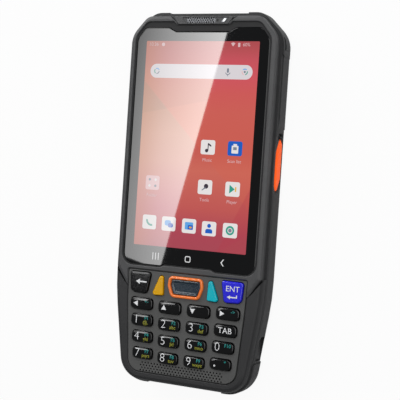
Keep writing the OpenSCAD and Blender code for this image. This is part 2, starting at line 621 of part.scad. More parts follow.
// ================= boards and inner pieces =================
board_x = hw - 7.6;
board_y1 = engine_y0 - 2;
board_y0 = seam_y + 4;
module main_board() {
    color("#1f5a34") difference() {
        slab(box_outline(-board_x, board_x, board_y0, board_y1, 2), board_z, board_z + board_t);
        both_sides() for (i = [0, 1]) disc(SCREWS[i][0], SCREWS[i][1], 0, part_z, 2.3);
    }
    color("silver") for (b = [[-22, -2, 8, 30], [2, 21, 2, 26], [-20, -4, -18, 0]])
        slab(box_outline(b[0], b[1], b[2] + lcd_y - 12, b[3] + lcd_y - 12, 0.8), board_z + board_t - eps,
            part_z - 0.25);
}
module loudspeaker() color("#3a3a3c") union() {
    slab(box_outline(-10, 10, panel_y0 + 0.9, panel_y0 + 4.1, 1.4), part_z, panel_low - 0.4);
    slab(box_outline(-9.4, 9.4, panel_y0 + 1.4, panel_y0 + 3.6, 1), panel_low - 0.4 - eps, panel_low - 0.1);
}
module scan_engine() color("#242428") difference() {
    union() {
        block(-engine_x, engine_x, engine_y0, engine_y1, wall, window_z1 + 0.2);
        both_sides() block(engine_x - eps, engine_x + 2.4, engine_y0 + 2, engine_y0 + 6, wall, 3);
    }
    // camera tunnel with its lens, aiming and lighting wells
    translate([-4, engine_y1 + 1, (window_z0 + window_z1) / 2]) rotate([90, 0, 0]) cylinder(h = 5, r = 2.6,
        $fn = 40);
    translate([4.5, engine_y1 + 1, (window_z0 + window_z1) / 2]) rotate([90, 0, 0]) cylinder(h = 3, r = 1.6,
        $fn = 32);
}
module scan_window() color("#3a0d14") y_slab(window_v, hl - window_sunk - window_t, hl - window_sunk);
module camera_module() color("#1c1c1e") union() {
    disc(camera_p[0], camera_p[1], 1.35, 5.4, camera_r - 1.3);
    block(camera_p[0] - 4.3, camera_p[0] + 4.3, camera_p[1] - 4.3, camera_p[1] + 4.3, 5.3, 7.2);
}
module camera_window() color("#101014") disc(camera_p[0], camera_p[1], 0.2, 1.2, camera_r);
module flash_lens() color("#f4f0dc") disc(flash_p[0], flash_p[1], 0.2, 2.2, flash_r, 32);
module antenna_patch() color("#8a6a32") slab(box_outline(hw - 20.1, hw - 8.1, hl - 17, hl - 8.2, 3), wall,
    wall + 0.4);
module vibration_motor() color("silver") disc(hw - 12.6, hl - 38, wall, wall + 3, 4);
module cradle_contacts() color("gold") for (x = CONTACT_X)
    block(x - 0.85, x + 0.85, contact_y - 1.55, contact_y + 1.55, 0.1, wall + 0.3);
module housing_screws() color("silver") both_sides() for (i = [0 : 2]) difference() {
    union() {
        disc(SCREWS[i][0], SCREWS[i][1], 0.6, screw_seat, screw_head_r, 32);
        disc(SCREWS[i][0], SCREWS[i][1], screw_seat - eps, screw_top[i], screw_r, 24);
    }
    disc(SCREWS[i][0], SCREWS[i][1], 0, 1.1, 0.75, 6);
}

// ================= foot end =================
module data_port() color("silver") {
    difference() {
        y_slab(port_v, port_y0, port_y1);
        y_slab(inset(port_v, 0.35), port_y0 - 1, port_y1 - 1.2);
    }
    block(-port_w / 2 + 1.3, port_w / 2 - 1.3, port_y0 + 0.9, port_y1 - 1.1, port_z - 0.35, port_z + 0.35);
}
module port_flap() color("#2c2c2e") difference() {
    union() {
        intersection() {
            y_slab(flap_v, -hl - 1, -hl + flap_t);
            blended(body_v, side_levels);
        }
        x_disc(hinge_pin_y, hinge_pin_z, -flap_x, flap_x, knuckle_r);
        y_slab(inset(port_v, 0.75), -hl + flap_t - eps, -hl + flap_t + 0.9);
    }
    x_disc(hinge_pin_y, hinge_pin_z, -flap_x - 1, flap_x + 1, hinge_pin_r + pin_gap);
}
module flap_pin() color("silver") x_disc(hinge_pin_y, hinge_pin_z, -flap_x - 1.6, flap_x + 1.6, hinge_pin_r);

// ================= battery =================
module battery_cover() color("#2b2b2d") difference() {
    union() {
        blended(cover_v, [[skin, 0.4], [0.4, 0], [cover_t, 0]]);
        // hooks at the head end
        both_sides() {
            block(hook_x - hook_w / 2, hook_x + hook_w / 2, bay_y1 - 0.1, hinge_y, cover_t - eps, 2.7);
            block(hook_x - hook_w / 2, hook_x + hook_w / 2, hinge_y - eps, hinge_y + 2, 1.95, 2.7);
        }
    }
    // grip ribs as shallow grooves
    for (i = [0 : 5]) slab(box_outline(-14, 14, cover_y0 + 9 + i * 2.6, cover_y0 + 10.2 + i * 2.6, 0.5), -1,
        0.35);
    both_sides() {
        disc(lock_x, lock_y, -1, 0.85, lock_head_r + 0.2);
        disc(lock_x, lock_y, -1, cover_t + 1, lock_r + pin_gap);
    }
}
module battery_pack() color("#3c3c40") difference() {
    slab(box_outline(-pack_x, pack_x, pack_y0, pack_y1, 2.5), pack_z, pack_z + pack_h);
    for (i = [0 : 3]) block(terminal_x + 0.6 + i * 3, terminal_x + 2.2 + i * 3, pack_y1 - 0.5, pack_y1 + 1,
        4.6, 7.4);
}
module battery_terminals() color("gold") union() {
    block(terminal_x, terminal_x + 12, pack_y1 + 0.4, bay_y1 + 1, 4, 8);
    for (i = [0 : 3]) block(terminal_x + 0.8 + i * 3, terminal_x + 2 + i * 3, pack_y1 - 0.3, pack_y1 + 0.5,
        5, 7);
}
module cover_lock() color("silver") difference() {
    union() {
        disc(lock_x, lock_y, 0.1, 0.8, lock_head_r);
        disc(lock_x, lock_y, 0.8 - eps, lock_top, lock_r);
        disc(lock_x, lock_y, cover_t + 0.05, cover_t + 0.6, lock_head_r - 0.4);
    }
    block(lock_x - 2, lock_x + 2, lock_y - 0.45, lock_y + 0.45, 0, 0.5);
}
module cover_lock_right() cover_lock();
module cover_lock_left() mirror([1, 0, 0]) cover_lock();

front_bezel();
touch_glass();
glass_seal();
display_panel();
display_frame();
earpiece_plate();
earpiece_receiver();
status_light();
keypad_panel();
scan_ring();
key_mat();
key_board();
loudspeaker();
main_board();
rear_housing();
side_rubber();
case_seal();
trigger_right();
trigger_left();
power_key();
volume_rocker();
side_switches();
scan_engine();
scan_window();
camera_module();
camera_window();
flash_lens();
antenna_patch();
vibration_motor();
data_port();
port_flap();
flap_pin();
battery_cover();
battery_pack();
battery_terminals();
cover_lock_left();
cover_lock_right();
cradle_contacts();
housing_screws();
for (k = TOP_KEYS) color(k[2]) { if (k[0] == "key_scan") scan_key(k[1]); else key_cap(k[1], k[3]); }
for (k = PAD_KEYS) color("#141416") key_cap(key_outline(k[1], k[2]));
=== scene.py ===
"""Portable barcode data terminal: the dressed model on its CAD frame.

Sizes are millimetres in the part's own frame: +X to the user's right, +Y to the head, +Z out of the display.
"""

from __future__ import annotations

import logging
import math
from dataclasses import dataclass, field
from enum import Enum

import bmesh
import bpy
from mathutils import Matrix, Vector
from mathutils.bvhtree import BVHTree

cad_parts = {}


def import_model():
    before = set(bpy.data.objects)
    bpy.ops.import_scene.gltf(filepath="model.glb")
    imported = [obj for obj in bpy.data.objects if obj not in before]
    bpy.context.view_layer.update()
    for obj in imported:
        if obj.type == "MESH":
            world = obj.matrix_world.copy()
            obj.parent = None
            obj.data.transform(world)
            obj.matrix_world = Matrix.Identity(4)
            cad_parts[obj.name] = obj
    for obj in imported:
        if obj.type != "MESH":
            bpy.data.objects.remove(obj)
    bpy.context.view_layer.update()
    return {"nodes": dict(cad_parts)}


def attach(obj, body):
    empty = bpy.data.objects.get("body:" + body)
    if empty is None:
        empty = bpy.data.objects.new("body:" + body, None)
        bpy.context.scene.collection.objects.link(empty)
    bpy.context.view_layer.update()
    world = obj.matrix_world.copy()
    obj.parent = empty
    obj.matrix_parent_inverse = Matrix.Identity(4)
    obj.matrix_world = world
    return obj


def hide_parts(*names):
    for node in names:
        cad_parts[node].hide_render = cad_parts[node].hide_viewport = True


LOG = logging.getLogger("terminal")
MM = 0.001
# The angle that one side of a rounded corner turns through, in degrees
ARC_STEP = 7.5
# Both sides of the middle: right, left
BOTH_SIDES = (1, -1)

Piece = bpy.types.Object
Socket = bpy.types.NodeSocket
NodeTree = bpy.types.NodeTree
Point = tuple[float, float]
Place = tuple[float, float, float]
# Corners as (x, y, radius), clockwise
Outline = list[tuple[float, float, float]]
Steps = list[tuple[float, float]]
Rings = list[tuple[float, list[Point]]]


# ---------------------------------------------------------------- outlines
def unit(x: float, y: float) -> Point:
    """The direction (x, y) with a length of one."""
    length = math.hypot(x, y)
    return x / length, y / length


def sides(outline: Outline, i: int) -> tuple[Point, Point, int]:
    """Directions of the sides that reach and leave corner i, and 1 where it turns right, else -1."""
    x, y, _ = outline[i]
    px, py, _ = outline[i - 1]
    nx, ny, _ = outline[(i + 1) % len(outline)]
    a, b = unit(x - px, y - py), unit(nx - x, ny - y)
    return a, b, 1 if a[0] * b[1] - a[1] * b[0] <= 0 else -1


def inset(outline: Outline, by: float) -> Outline:
    """Moves every side of a clockwise outline inwards.

    Args:
        outline: corners as (x, y, radius).
        by: the distance; a negative one grows the outline.

    Returns:
        The moved outline, with the same number of corners.
    """
    result = []
    for i, (x, y, r) in enumerate(outline):
        a, b, turn = sides(outline, i)
        na, nb = (a[1], -a[0]), (b[1], -b[0])
        k = by / (1 + na[0] * nb[0] + na[1] * nb[1])
        result.append((x + (na[0] + nb[0]) * k, y + (na[1] + nb[1]) * k, max(r - turn * by, 0.05)))
    return result


def rounded(outline: Outline) -> list[Point]:
    """Turns an outline's corners into tangent arcs; the point count depends on the angles alone."""
    points: list[Point] = []
    for i, (x, y, r) in enumerate(outline):
        a, b, turn = sides(outline, i)
        angle = math.acos(max(-1.0, min(1.0, a[0] * b[0] + a[1] * b[1])))
        if angle < 0.002:
            points.append((x, y))
            continue
        back = r * math.tan(angle / 2)
        sx, sy = x - a[0] * back, y - a[1] * back
        cx, cy = sx + a[1] * r * turn, sy - a[0] * r * turn
        vx, vy = sx - cx, sy - cy
        count = max(1, math.ceil(math.degrees(angle) / ARC_STEP - 0.02))
        for k in range(count + 1):
            w = -turn * angle * k / count
            points.append((cx + vx * math.cos(w) - vy * math.sin(w), cy + vx * math.sin(w) + vy * math.cos(w)))
    return points


def flipped(outline: Outline) -> Outline:
    """An outline mirrored to the other side of the middle."""
    return [(-x, y, r) for x, y, r in reversed(outline)]


def both(half: Outline) -> Outline:
    """Both halves of a symmetric outline from its right half, listed from head to foot."""
    return half + flipped(half)


def mirror_pair(outline: Outline) -> list[Outline]:
    """An outline on the right and its mirror image on the left."""
    return [outline, flipped(outline)]


def box(x0: float, x1: float, y0: float, y1: float, r: float) -> Outline:
    """A rectangle with round corners."""
    return [(x0, y1, r), (x1, y1, r), (x1, y0, r), (x0, y0, r)]


def slab(x0: float, x1: float, y0: float, y1: float, r: float) -> list[Point]:
    """The points of a rectangle with round corners."""
    return rounded(box(x0, x1, y0, y1, r))


def square(x0: float, x1: float, y0: float, y1: float) -> list[Point]:
    """The points of a rectangle."""
    return [(x0, y1), (x1, y1), (x1, y0), (x0, y0)]


def block_at(x: float, y: float, w: float, h: float, r: float) -> Outline:
    """A rectangle with round corners about a centre."""
    return moved(box(-w / 2, w / 2, -h / 2, h / 2, r), x, y)


def moved(outline: Outline, x: float, y: float) -> Outline:
    """An outline shifted by (x, y)."""
    return [(px + x, py + y, r) for px, py, r in outline]


def circle(x: float, y: float, r: float, start: float = 0.0, end: float = 360.0, count: int = 28) -> list[Point]:
    """Points on an arc; a whole turn leaves its last point out."""
    steps = count if end - start >= 360 else count + 1
    angles = [math.radians(start + (end - start) * k / count) for k in range(steps)]
    return [(x + r * math.cos(a), y + r * math.sin(a)) for a in angles]


def band(x: float, y: float, r0: float, r1: float, start: float, end: float) -> list[Point]:
    """Points of a curved band between two radii, just short of a whole turn at most."""
    return circle(x, y, r1, start, end - 0.5) + circle(x, y, r0, start, end - 0.5)[::-1]


# ---------------------------------------------------------------- sizes
@dataclass(frozen=True)
class Sizes:
    """Sizes and outlines that several sub-assemblies share, as in the part's source."""

    hl: float = 78.4
    hw: float = 34.6
    part_z: float = 13.9
    rim_z: float = 18.0
    glass_z: float = 17.5
    ledge_z: float = 16.5
    panel_top: float = 17.6
    cap_top: float = 18.5
    flange_z: float = 15.3
    flange_top: float = 15.9
    seam_y: float = -30.85
    panel_y0: float = -73.85
    panel_x: float = 27.4
    glass_x: float = 30.4
    glass_y1: float = 71.85
    glass_y0: float = -28.55
    lcd_y: float = 22.95
    slot_y1: float = 76.05
    slot_y0: float = 73.65
    rubber_t: float = 3.0
    wall: float = 1.6
    fit_gap: float = 0.15
    key_gap: float = 0.25
    trigger_y: float = 16.9
    trigger_z: float = 9.25
    power_y: float = 53.9
    rocker_y: float = 41.4
    rocker_arm: float = 3.8
    side_key_z: float = 9.0

    def glass(self) -> Outline:
        """The touch glass."""
        x, y1, y0 = self.glass_x, self.glass_y1, self.glass_y0
        return both([(12.2, y1 - 1.7, 0.8), (15.6, y1, 0.8), (x - 3.8, y1, 3), (x, y1 - 5, 4), (x, y0, 4.6),
                     (12.8, y0, 0.8), (10.6, y0 + 0.9, 0.8)])

    def rim(self) -> Outline:
        """The opening in the front bezel that the glass and its seal lie in."""
        x, y1, y0 = self.glass_x + 0.7, self.glass_y1 + 2.4, self.glass_y0 - 0.5
        return both([(11.9, y1 - 1.4, 0.8), (13.5, y1, 0.8), (x - 5.2, y1, 4), (x, y1 - 6.35, 6), (x, y0, 5),
                     (12.9, y0, 0.8), (10.7, y0 + 0.9, 0.8)])

    def bezel(self) -> Outline:
        """The front bezel, with its two pointed tips at the foot."""
        x, y = self.hw - 1.4, self.hl - 1.75
        return both([(x - 7.2, y, 5), (x, y - 8.15, 9.5), (x, self.seam_y + 0.95, 0.6),
                     (x - 5.2, self.seam_y - 6.8, 0.3)])

    def tab(self) -> Outline:
        """The earpiece tab."""
        return both([(14, self.hl - 1.95, 0.5), (11.3, self.glass_y1 + 1.3, 0.9)])

    def tab_room(self) -> Outline:
        """The tab's room in the bezel, which runs out through the head edge."""
        return both([(15.05, self.hl - 0.75, 0.3), (11.47, self.glass_y1 + 1.15, 0.9)])

    def tab_groove(self) -> Outline:
        """The groove that widens beside the tab towards the head edge."""
        return both([(17.4, self.hl - 0.75, 0.3), (11.2, self.glass_y1 + 1.75, 0.3)])

    def tab_slot(self) -> Outline:
        """The shallow slot in the earpiece tab."""
        return moved(both([(11, self.slot_y1, 0.4), (8.6, self.slot_y0, 0.6)]), 1.2, 0)

    def light(self) -> Outline:
        """The slanted light guide in the slot."""
        y0, y1 = self.slot_y0 + 0.3, self.slot_y1 - 0.3
        return [(9.4, y1, 0.2), (11, y1, 0.2), (9.7, y0, 0.2), (8.1, y0, 0.2)]

    def body(self) -> Outline:
        """The whole terminal."""
        return both([(self.hw - 9.8, self.hl, 7), (self.hw, self.hl - 9.8, 10), (self.hw, 39.9 - self.hl, 110),
                     (self.hw - 5.7, -self.hl, 11)])

    def core(self) -> Outline:
        """The rear shell inside the rubber."""
        return inset(self.body(), self.rubber_t)

    def window(self) -> Outline:
        """The scan window in the plane of X and Z."""
        return box(-13, 13, 3.2, self.part_z - 2.8, 1.2)

    def port(self) -> Outline:
        """The data port in the plane of X and Z."""
        return box(-4.6, 4.6, 6.9, 10.3, 1.6)

    def panel(self) -> Outline:
        """The keypad panel."""
        x = self.panel_x
        return both([(x, self.seam_y, 0.6), (x - 0.4, self.seam_y - 13.2, 20), (x - 2.7, self.panel_y0, 5.5)])

    def ring(self) -> Outline:
        """The ring round the scan key."""
        return moved(both([(7.7, -1.2, 2), (8.2, -5.2, 3), (6.5, -10.1, 2.4)]), 0, self.seam_y)

    def corner_key(self) -> Outline:
        """The large key at the right end of the top row."""
        return moved([(16.3, -0.75, 1), (26.2, -0.95, 1.2), (25.6, -9.4, 2.2), (17.9, -9.8, 1.6)], 0, self.seam_y)

    def blade_key(self) -> Outline:
        """The narrow key right of the scan key."""
        return moved([(10.5, -1.9, 0.9), (12, -1.5, 0.9), (15.2, -9.2, 1), (14.3, -10, 0.8), (10.1, -9.8, 0.8)],
                     0, self.seam_y)


S = Sizes()


# ---------------------------------------------------------------- meshes
class Plane(Enum):
    """The plane that an outline is drawn in; a loft runs square to it."""

    XY = "xy"
    YZ = "yz"
    XZ = "xz"

    def place(self, a: float, b: float, height: float) -> Vector:
        """A point of an outline in this plane, in metres."""
        spots = {Plane.XY: (a, b, height), Plane.YZ: (height, a, b), Plane.XZ: (a, height, b)}
        return Vector(spots[self]) * MM


class Mode(Enum):
    """What combining does to a solid: cuts the others off, adds them, or keeps what lies inside them."""

    CUT = "DIFFERENCE"
    ADD = "UNION"
    KEEP = "INTERSECT"


def new_object(name: str, bm: bmesh.types.BMesh) -> Piece:
    """Makes a linked object from a bmesh and frees the bmesh."""
    mesh = bpy.data.meshes.new(name)
    bm.to_mesh(mesh)
    bm.free()
    obj = bpy.data.objects.new(name, mesh)
    bpy.context.scene.collection.objects.link(obj)
    return obj


def discard(obj: Piece) -> None:
    """Removes an object and its mesh."""
    mesh = obj.data
    bpy.data.objects.remove(obj)
    bpy.data.meshes.remove(mesh)


def loft(name: str, rings: Rings, plane: Plane = Plane.XY, dome: float | None = None) -> Piece:
    """Joins rings of points into one solid.

    Args:
        name: the object's name.
        rings: (height, points), in order; points beyond the count of the ring before get no side faces.
        plane: the plane the points are drawn in.
        dome: where given, the last ring closes over a point at this height instead of flat.

    Returns:
        The new object, with its faces pointing outwards.
    """
    bm = bmesh.new()
    rows = [[bm.verts.new(plane.place(x, y, h)) for x, y in ring] for h, ring in rings]
    for low, high in zip(rows, rows[1:]):
        for i in range(len(low)):
            j = (i + 1) % len(low)
            bm.faces.new((low[i], low[j], high[j], high[i]))
    bm.faces.new(rows[0])
    if dome is None:
        bm.faces.new(rows[-1])
    else:
        count = len(rows[-1])
        xs, ys = zip(*rings[-1][1])
        tip = bm.verts.new(plane.place(sum(xs) / count, sum(ys) / count, dome))
        for i in range(count):
            bm.faces.new((rows[-1][i], rows[-1][(i + 1) % count], tip))
    bmesh.ops.recalc_face_normals(bm, faces=bm.faces)
    return new_object(name, bm)


def moulding(name: str, outline: Outline, steps: Steps, plane: Plane = Plane.XY, dome: float | None = None) -> Piece:
    """A solid on an outline that is drawn in by (height, inset) steps."""
    return loft(name, [(h, rounded(inset(outline, e))) for h, e in steps], plane, dome)


def prism(outline: Outline, z0: float, z1: float, plane: Plane = Plane.XY, name: str = "prism") -> Piece:
    """A straight solid on an outline."""
    ring = rounded(outline)
    return loft(name, [(z0, ring), (z1, ring)], plane)


def flare(outline: Outline, low: float, high: float, edge: float, plane: Plane = Plane.XY, over: float = 1.0) -> Piece:
    """A cutter whose mouth opens by a chamfer at its end height.

    Args:
        outline: the opening.
        low: where the cutter starts.
        high: the surface that it breaks through.
        edge: size of the chamfer.
        plane: the plane of the outline.
        over: how far the cutter runs on past the surface.

    Returns:
        The cutter.
    """
    way = 1 if high > low else -1
    return loft("flare", [(low, rounded(outline)), (high - way * edge, rounded(outline)),
                          (high + way * over, rounded(inset(outline, -edge - over)))], plane)


def cuboid(x0: float, x1: float, y0: float, y1: float, z0: float, z1: float, edge: float = 0.01) -> Piece:
    """A block with its upright edges rounded."""
    return prism(box(x0, x1, y0, y1, edge), z0, z1)


def turned(name: str, x: float, y: float, steps: Steps, count: int = 48) -> Piece:
    """An upright round solid through (height, radius) steps."""
    return loft(name, [(z, circle(x, y, r, count=count)) for z, r in steps])


def rod(x: float, y: float, z0: float, z1: float, r: float, edge: float = 0.0, count: int = 48) -> Piece:
    """An upright round bar, its lower end widened by a chamfer where an edge is given."""
    chamfer = [(z0, r + edge), (z0 + edge, r)] if edge else [(z0, r)]
    return turned("rod", x, y, chamfer + [(z1, r)], count)


def side_rod(y: float, z: float, x0: float, x1: float, r: float, count: int = 32) -> Piece:
    """A round bar along X."""
    ring = circle(y, z, r, count=count)
    return loft("side_rod", [(x0, ring), (x1, ring)], Plane.YZ)


def quarter(base: float, height: float, width: float, count: int, start: int = 0) -> Steps:
    """(height, inset) steps of a quarter round, from its foot or from a later step on."""
    angles = [math.pi / 2 * k / count for k in range(start, count + 1)]
    return [(base + height * math.sin(a), width * (1 - math.cos(a))) for a in angles]


def smooth_steps(levels: Steps, parts: int = 3) -> Steps:
    """(height, inset) steps of a smooth curve through given levels, never outside the largest form."""
    steps: Steps = []
    last = len(levels) - 1
    for i in range(last):
        before, (h1, e1), (h2, e2), after = levels[max(i - 1, 0)], levels[i], levels[i + 1], levels[min(i + 2, last)]
        a, b = 0.5 * (e2 - before[1]), 0.5 * (after[1] - e1)
        for k in range(parts):
            t = k / parts
            e = ((2 * t**3 - 3 * t**2 + 1) * e1 + (t**3 - 2 * t**2 + t) * a
                 + (-2 * t**3 + 3 * t**2) * e2 + (t**3 - t**2) * b)
            steps.append((h1 + (h2 - h1) * t, max(0.0, e)))
    return steps + [levels[-1]]


def settle(obj: Piece) -> Piece:
    """Turns an object's modifiers into plain mesh."""
    bpy.context.view_layer.update()
    graph = bpy.context.evaluated_depsgraph_get()
    mesh = bpy.data.meshes.new_from_object(obj.evaluated_get(graph))
    obj.modifiers.clear()
    old = obj.data
    obj.data = mesh
    mesh.name = obj.name
    bpy.data.meshes.remove(old)
    return obj


def join(name: str, pieces: list[Piece]) -> Piece:
    """Joins plain mesh objects into one and removes them; each keeps its materials."""
    bm = bmesh.new()
    slots: list[bpy.types.Material] = []
    for piece in pieces:
        start = len(bm.faces)
        bm.from_mesh(piece.data)
        bm.faces.ensure_lookup_table()
        own = list(piece.data.materials)
        for face in bm.faces[start:]:
            if own:
                material = own[min(face.material_index, len(own) - 1)]
                if material not in slots:
                    slots.append(material)
                face.material_index = slots.index(material)
    obj = new_object(name, bm)
    for material in slots:
        obj.data.materials.append(material)
    for piece in pieces:
        discard(piece)
    return obj


def combine(target: Piece, others: list[Piece], mode: Mode = Mode.CUT, crossing: bool = False) -> Piece:
    """Combines a solid with others, which are used up.

    Args:
        target: the solid that changes.
        others: the solids that it is cut by, added to or kept inside.
        mode: which of the three.
        crossing: whether the others cross one another.

    Returns:
        The changed target.
    """
    tool = join("tool", others)
    modifier = target.modifiers.new("Combine", "BOOLEAN")
    modifier.operation = mode.value
    modifier.solver = "EXACT"
    modifier.use_self = crossing
    modifier.object = tool
    settle(target)
    discard(tool)
    return target


def shifted(obj: Piece, x: float, y: float, z: float = 0.0) -> Piece:
    """Moves an object's mesh."""
    obj.data.transform(Matrix.Translation(Vector((x, y, z)) * MM))
    return obj


def shade(obj: Piece, angle: float) -> Piece:
    """Smooths an object's shading up to an angle, with the large faces kept flat."""
    mesh = obj.data
    mesh.polygons.foreach_set("use_smooth", [True] * len(mesh.polygons))
    mesh.set_sharp_from_angle(angle=math.radians(angle))
    modifier = obj.modifiers.new("Even shading", "WEIGHTED_NORMAL")
    modifier.keep_sharp = True
    modifier.weight = 90
    return settle(obj)


def mirrored(obj: Piece, name: str) -> Piece:
    """A copy of an object on the other side of the middle, with its faces turned outwards."""
    bm = bmesh.new()
    bm.from_mesh(obj.data)
    bmesh.ops.scale(bm, vec=(-1, 1, 1), verts=bm.verts)
    bmesh.ops.reverse_faces(bm, faces=bm.faces)
    copy = new_object(name, bm)
    for material in obj.data.materials:
        copy.data.materials.append(material)
    return copy


# ---------------------------------------------------------------- finishes
def linear(colour: str, alpha: float = 1.0) -> tuple[float, float, float, float]:
    """An sRGB hex colour as linear RGBA."""
    values = [int(colour[i:i + 2], 16) / 255 for i in (1, 3, 5)]
    r, g, b = (v / 12.92 if v <= 0.04045 else ((v + 0.055) / 1.055) ** 2.4 for v in values)
    return r, g, b, alpha


def feed(tree: NodeTree, node: bpy.types.Node, inputs: dict) -> None:
    """Gives a node's inputs, by name or index, a socket to be linked to or a plain value."""
    for key, value in inputs.items():
        if isinstance(value, Socket):
            tree.links.new(value, node.inputs[key])
        else:
            node.inputs[key].default_value = value


def new_material(name: str) -> tuple[bpy.types.Material, NodeTree]:
    """A new material with nodes, and its tree."""
    material = bpy.data.materials.new(name)
    material.use_nodes = True
    return material, material.node_tree


def add_node(tree: NodeTree, kind: str, inputs: dict | None = None, **settings: object) -> bpy.types.Node:
    """Adds a node to a tree.

    Args:
        tree: a material's or a geometry tree.
        kind: the node's type.
        inputs: what its inputs get, as for feed.
        **settings: attributes of the node.

    Returns:
        The new node.
    """
    node = tree.nodes.new(kind)
    for key, value in settings.items():
        setattr(node, key, value)
    feed(tree, node, inputs or {})
    return node


def along(tree: NodeTree, axes: bpy.types.Node, a: float, b: float, start: float, end: float,
          low: float = 0.0, high: float = 1.0) -> Socket:
    """A smooth ramp of a x + b y between two values in millimetres.

    Args:
        tree: the material's tree.
        axes: a node that splits the object coordinates.
        a, b: how much x and y count.
        start, end: the sums that the ramp runs between.
        low, high: its values there.

    Returns:
        The ramp's output.
    """
    x, y, _ = axes.outputs
    ax = add_node(tree, "ShaderNodeMath", {0: x, 1: a / MM}, operation="MULTIPLY")
    total = add_node(tree, "ShaderNodeMath", {0: y, 1: b / MM, 2: ax.outputs[0]}, operation="MULTIPLY_ADD")
    ramp = add_node(tree, "ShaderNodeMapRange", {"Value": total.outputs[0], "From Min": start, "From Max": end,
                                                 "To Min": low, "To Max": high}, interpolation_type="SMOOTHSTEP")
    return ramp.outputs["Result"]


def colour_ramp(tree: NodeTree, value: Socket, stops: list[tuple[float, tuple]]) -> Socket:
    """A colour ramp over a value, through (position, colour) stops."""
    ramp = add_node(tree, "ShaderNodeValToRGB", {"Fac": value})
    elements = ramp.color_ramp.elements
    for element, (at, colour) in zip(elements, (stops[0], stops[-1])):
        element.position, element.color = at, colour
    for at, colour in stops[1:-1]:
        elements.new(at).color = colour
    return ramp.outputs["Color"]


# The straight edge of the window light that the touch glass mirrors, as a x + b y from start to end
GLARE_EDGE = (-0.9727, 0.232, 5.25, 5.65)
# Painted shade: the share of a lit mark's glow strength that is kept under the mirrored light
GLARE_PAINTED_DIMMING = 0.68
# Base colour of the dark print behind the glass
UNLIT = "#040404"
# Roughness of a clear coat
COAT_ROUGHNESS = 0.06


@dataclass(frozen=True)
class Finish:
    """A procedural finish: a colour with slight variation, a fine grain, and its gloss."""

    name: str
    colour: str
    roughness: float
    grain_mm: float = 0.5
    bump: float = 0.1
    mottle: float = 0.06
    mottle_mm: float = 9.0
    rough_spread: float = 0.06
    metallic: float = 0.0
    ior: float = 1.5
    specular: float = 0.5
    coat: float = 0.0
    glow: float = 0.0
    lit: bool = False

    def material(self) -> bpy.types.Material:
        """The finish as a material, made once."""
        title = f"{self.name}_finish"
        found = bpy.data.materials.get(title)
        if found:
            return found
        material, tree = new_material(title)
        place =add_node(tree, "ShaderNodeTexCoord").outputs["Object"]
        broad = add_node(tree, "ShaderNodeTexNoise", {"Vector": place, "Scale": 1000 / self.mottle_mm, "Detail": 3.0})
        grain = add_node(tree, "ShaderNodeTexNoise", {"Vector": place, "Scale": 1000 / self.grain_mm, "Detail": 2.0})
        base = linear(UNLIT if self.lit else self.colour)[:3]
        shades = [(*[min(1.0, c * k) for c in base], 1) for k in (1 - self.mottle, 1 + self.mottle)]
        rough = add_node(tree, "ShaderNodeMapRange", {"Value": grain.outputs["Fac"],
                                                      "To Min": max(0.02, self.roughness - self.rough_spread),
                                                      "To Max": min(1.0, self.roughness + self.rough_spread)})
        inputs = {"Base Color": colour_ramp(tree, broad.outputs["Fac"], [(0.3, shades[0]), (0.7, shades[1])]),
                  "Roughness": rough.outputs["Result"], "Metallic": self.metallic,
                  "Specular IOR Level": self.specular, "Coat Weight": self.coat, "Coat Roughness": COAT_ROUGHNESS}
        if self.bump:
            bump = add_node(tree, "ShaderNodeBump", {"Height": grain.outputs["Fac"], "Strength": self.bump,
                                                     "Distance": self.grain_mm * MM * 0.25})
            inputs["Normal"] = bump.outputs["Normal"]
        if not self.metallic:
            inputs["IOR"] = self.ior
        # Glow: the display's own light, and painted glow on the orange pieces and the light guide's strip
        if self.glow:
            inputs |= {"Emission Color": linear(self.colour), "Emission Strength": self.glow}
        # Painted shade: a lit mark's glow falls to a share of itself under the mirrored light
        if self.lit:
            axes = add_node(tree, "ShaderNodeSeparateXYZ", {0: place})
            inputs["Emission Strength"] = along(tree, axes, *GLARE_EDGE, self.glow, self.glow * GLARE_PAINTED_DIMMING)
        feed(tree, tree.nodes["Principled BSDF"], inputs)
        return material


# PC/ABS with a fine spark-eroded texture: matt, with a faint sparkle of grain in raking light
FRONT_PLASTIC = Finish("front_plastic", "#474748", 0.46, 0.35, 0.22)
# The same moulding compound on the keypad, a little greyer and duller
PANEL_PLASTIC = Finish("panel_plastic", "#525251", 0.55, 0.4, 0.3)
# Overmoulded TPU: soft and matt, its edges slightly shiny from handling
RUBBER_DARK = Finish("rubber_dark", "#2f2f30", 0.5, 0.6, 0.25, specular=0.4)
# Glass-filled PC of the rear shell: a coarser texture, so it looks duller than the front
HOUSING_PLASTIC = Finish("housing_plastic", "#343436", 0.58, 0.7, 0.5)
# Chemically strengthened glass with a black print behind it: mirror smooth
TOUCH_GLASS = Finish("touch_glass", "#0b0b0c", 0.02, 4.0, 0.0, mottle=0.0, rough_spread=0.0, ior=1.52)
# Silicone foam seal round the glass: dull and dark
SEAL_BLACK = Finish("seal_black", "#1e1e1f", 0.75, 0.5, 0.3)
# Bare display glass under the touch glass: smooth, with a faint red cast
DISPLAY = Finish("display", "#2a1216", 0.2, 3.0, 0.0)
# Stamped stainless sheet: bright, with a soft rolled sheen
SHEET_METAL = Finish("sheet_metal", "#b9babc", 0.34, 0.8, 0.1, metallic=1.0)
# Fine etched mesh over the receiver: a nickel coat makes it grey
MESH_METAL = Finish("mesh_metal", "#77787b", 0.4, 0.6, 0.1, metallic=1.0)
# Milky polycarbonate light guide: pale and soft
LIGHT_GUIDE = Finish("light_guide", "#9a9da1", 0.3, 1.0, 0.0)
# Its lit core: close to white
# Its core: a painted highlight, a near-white strip that glows along the guide
GUIDE_HIGHLIGHT_STRIP = Finish("guide_highlight_strip", "#fbfcfd", 0.3, 1.0, 0.0, glow=0.7)
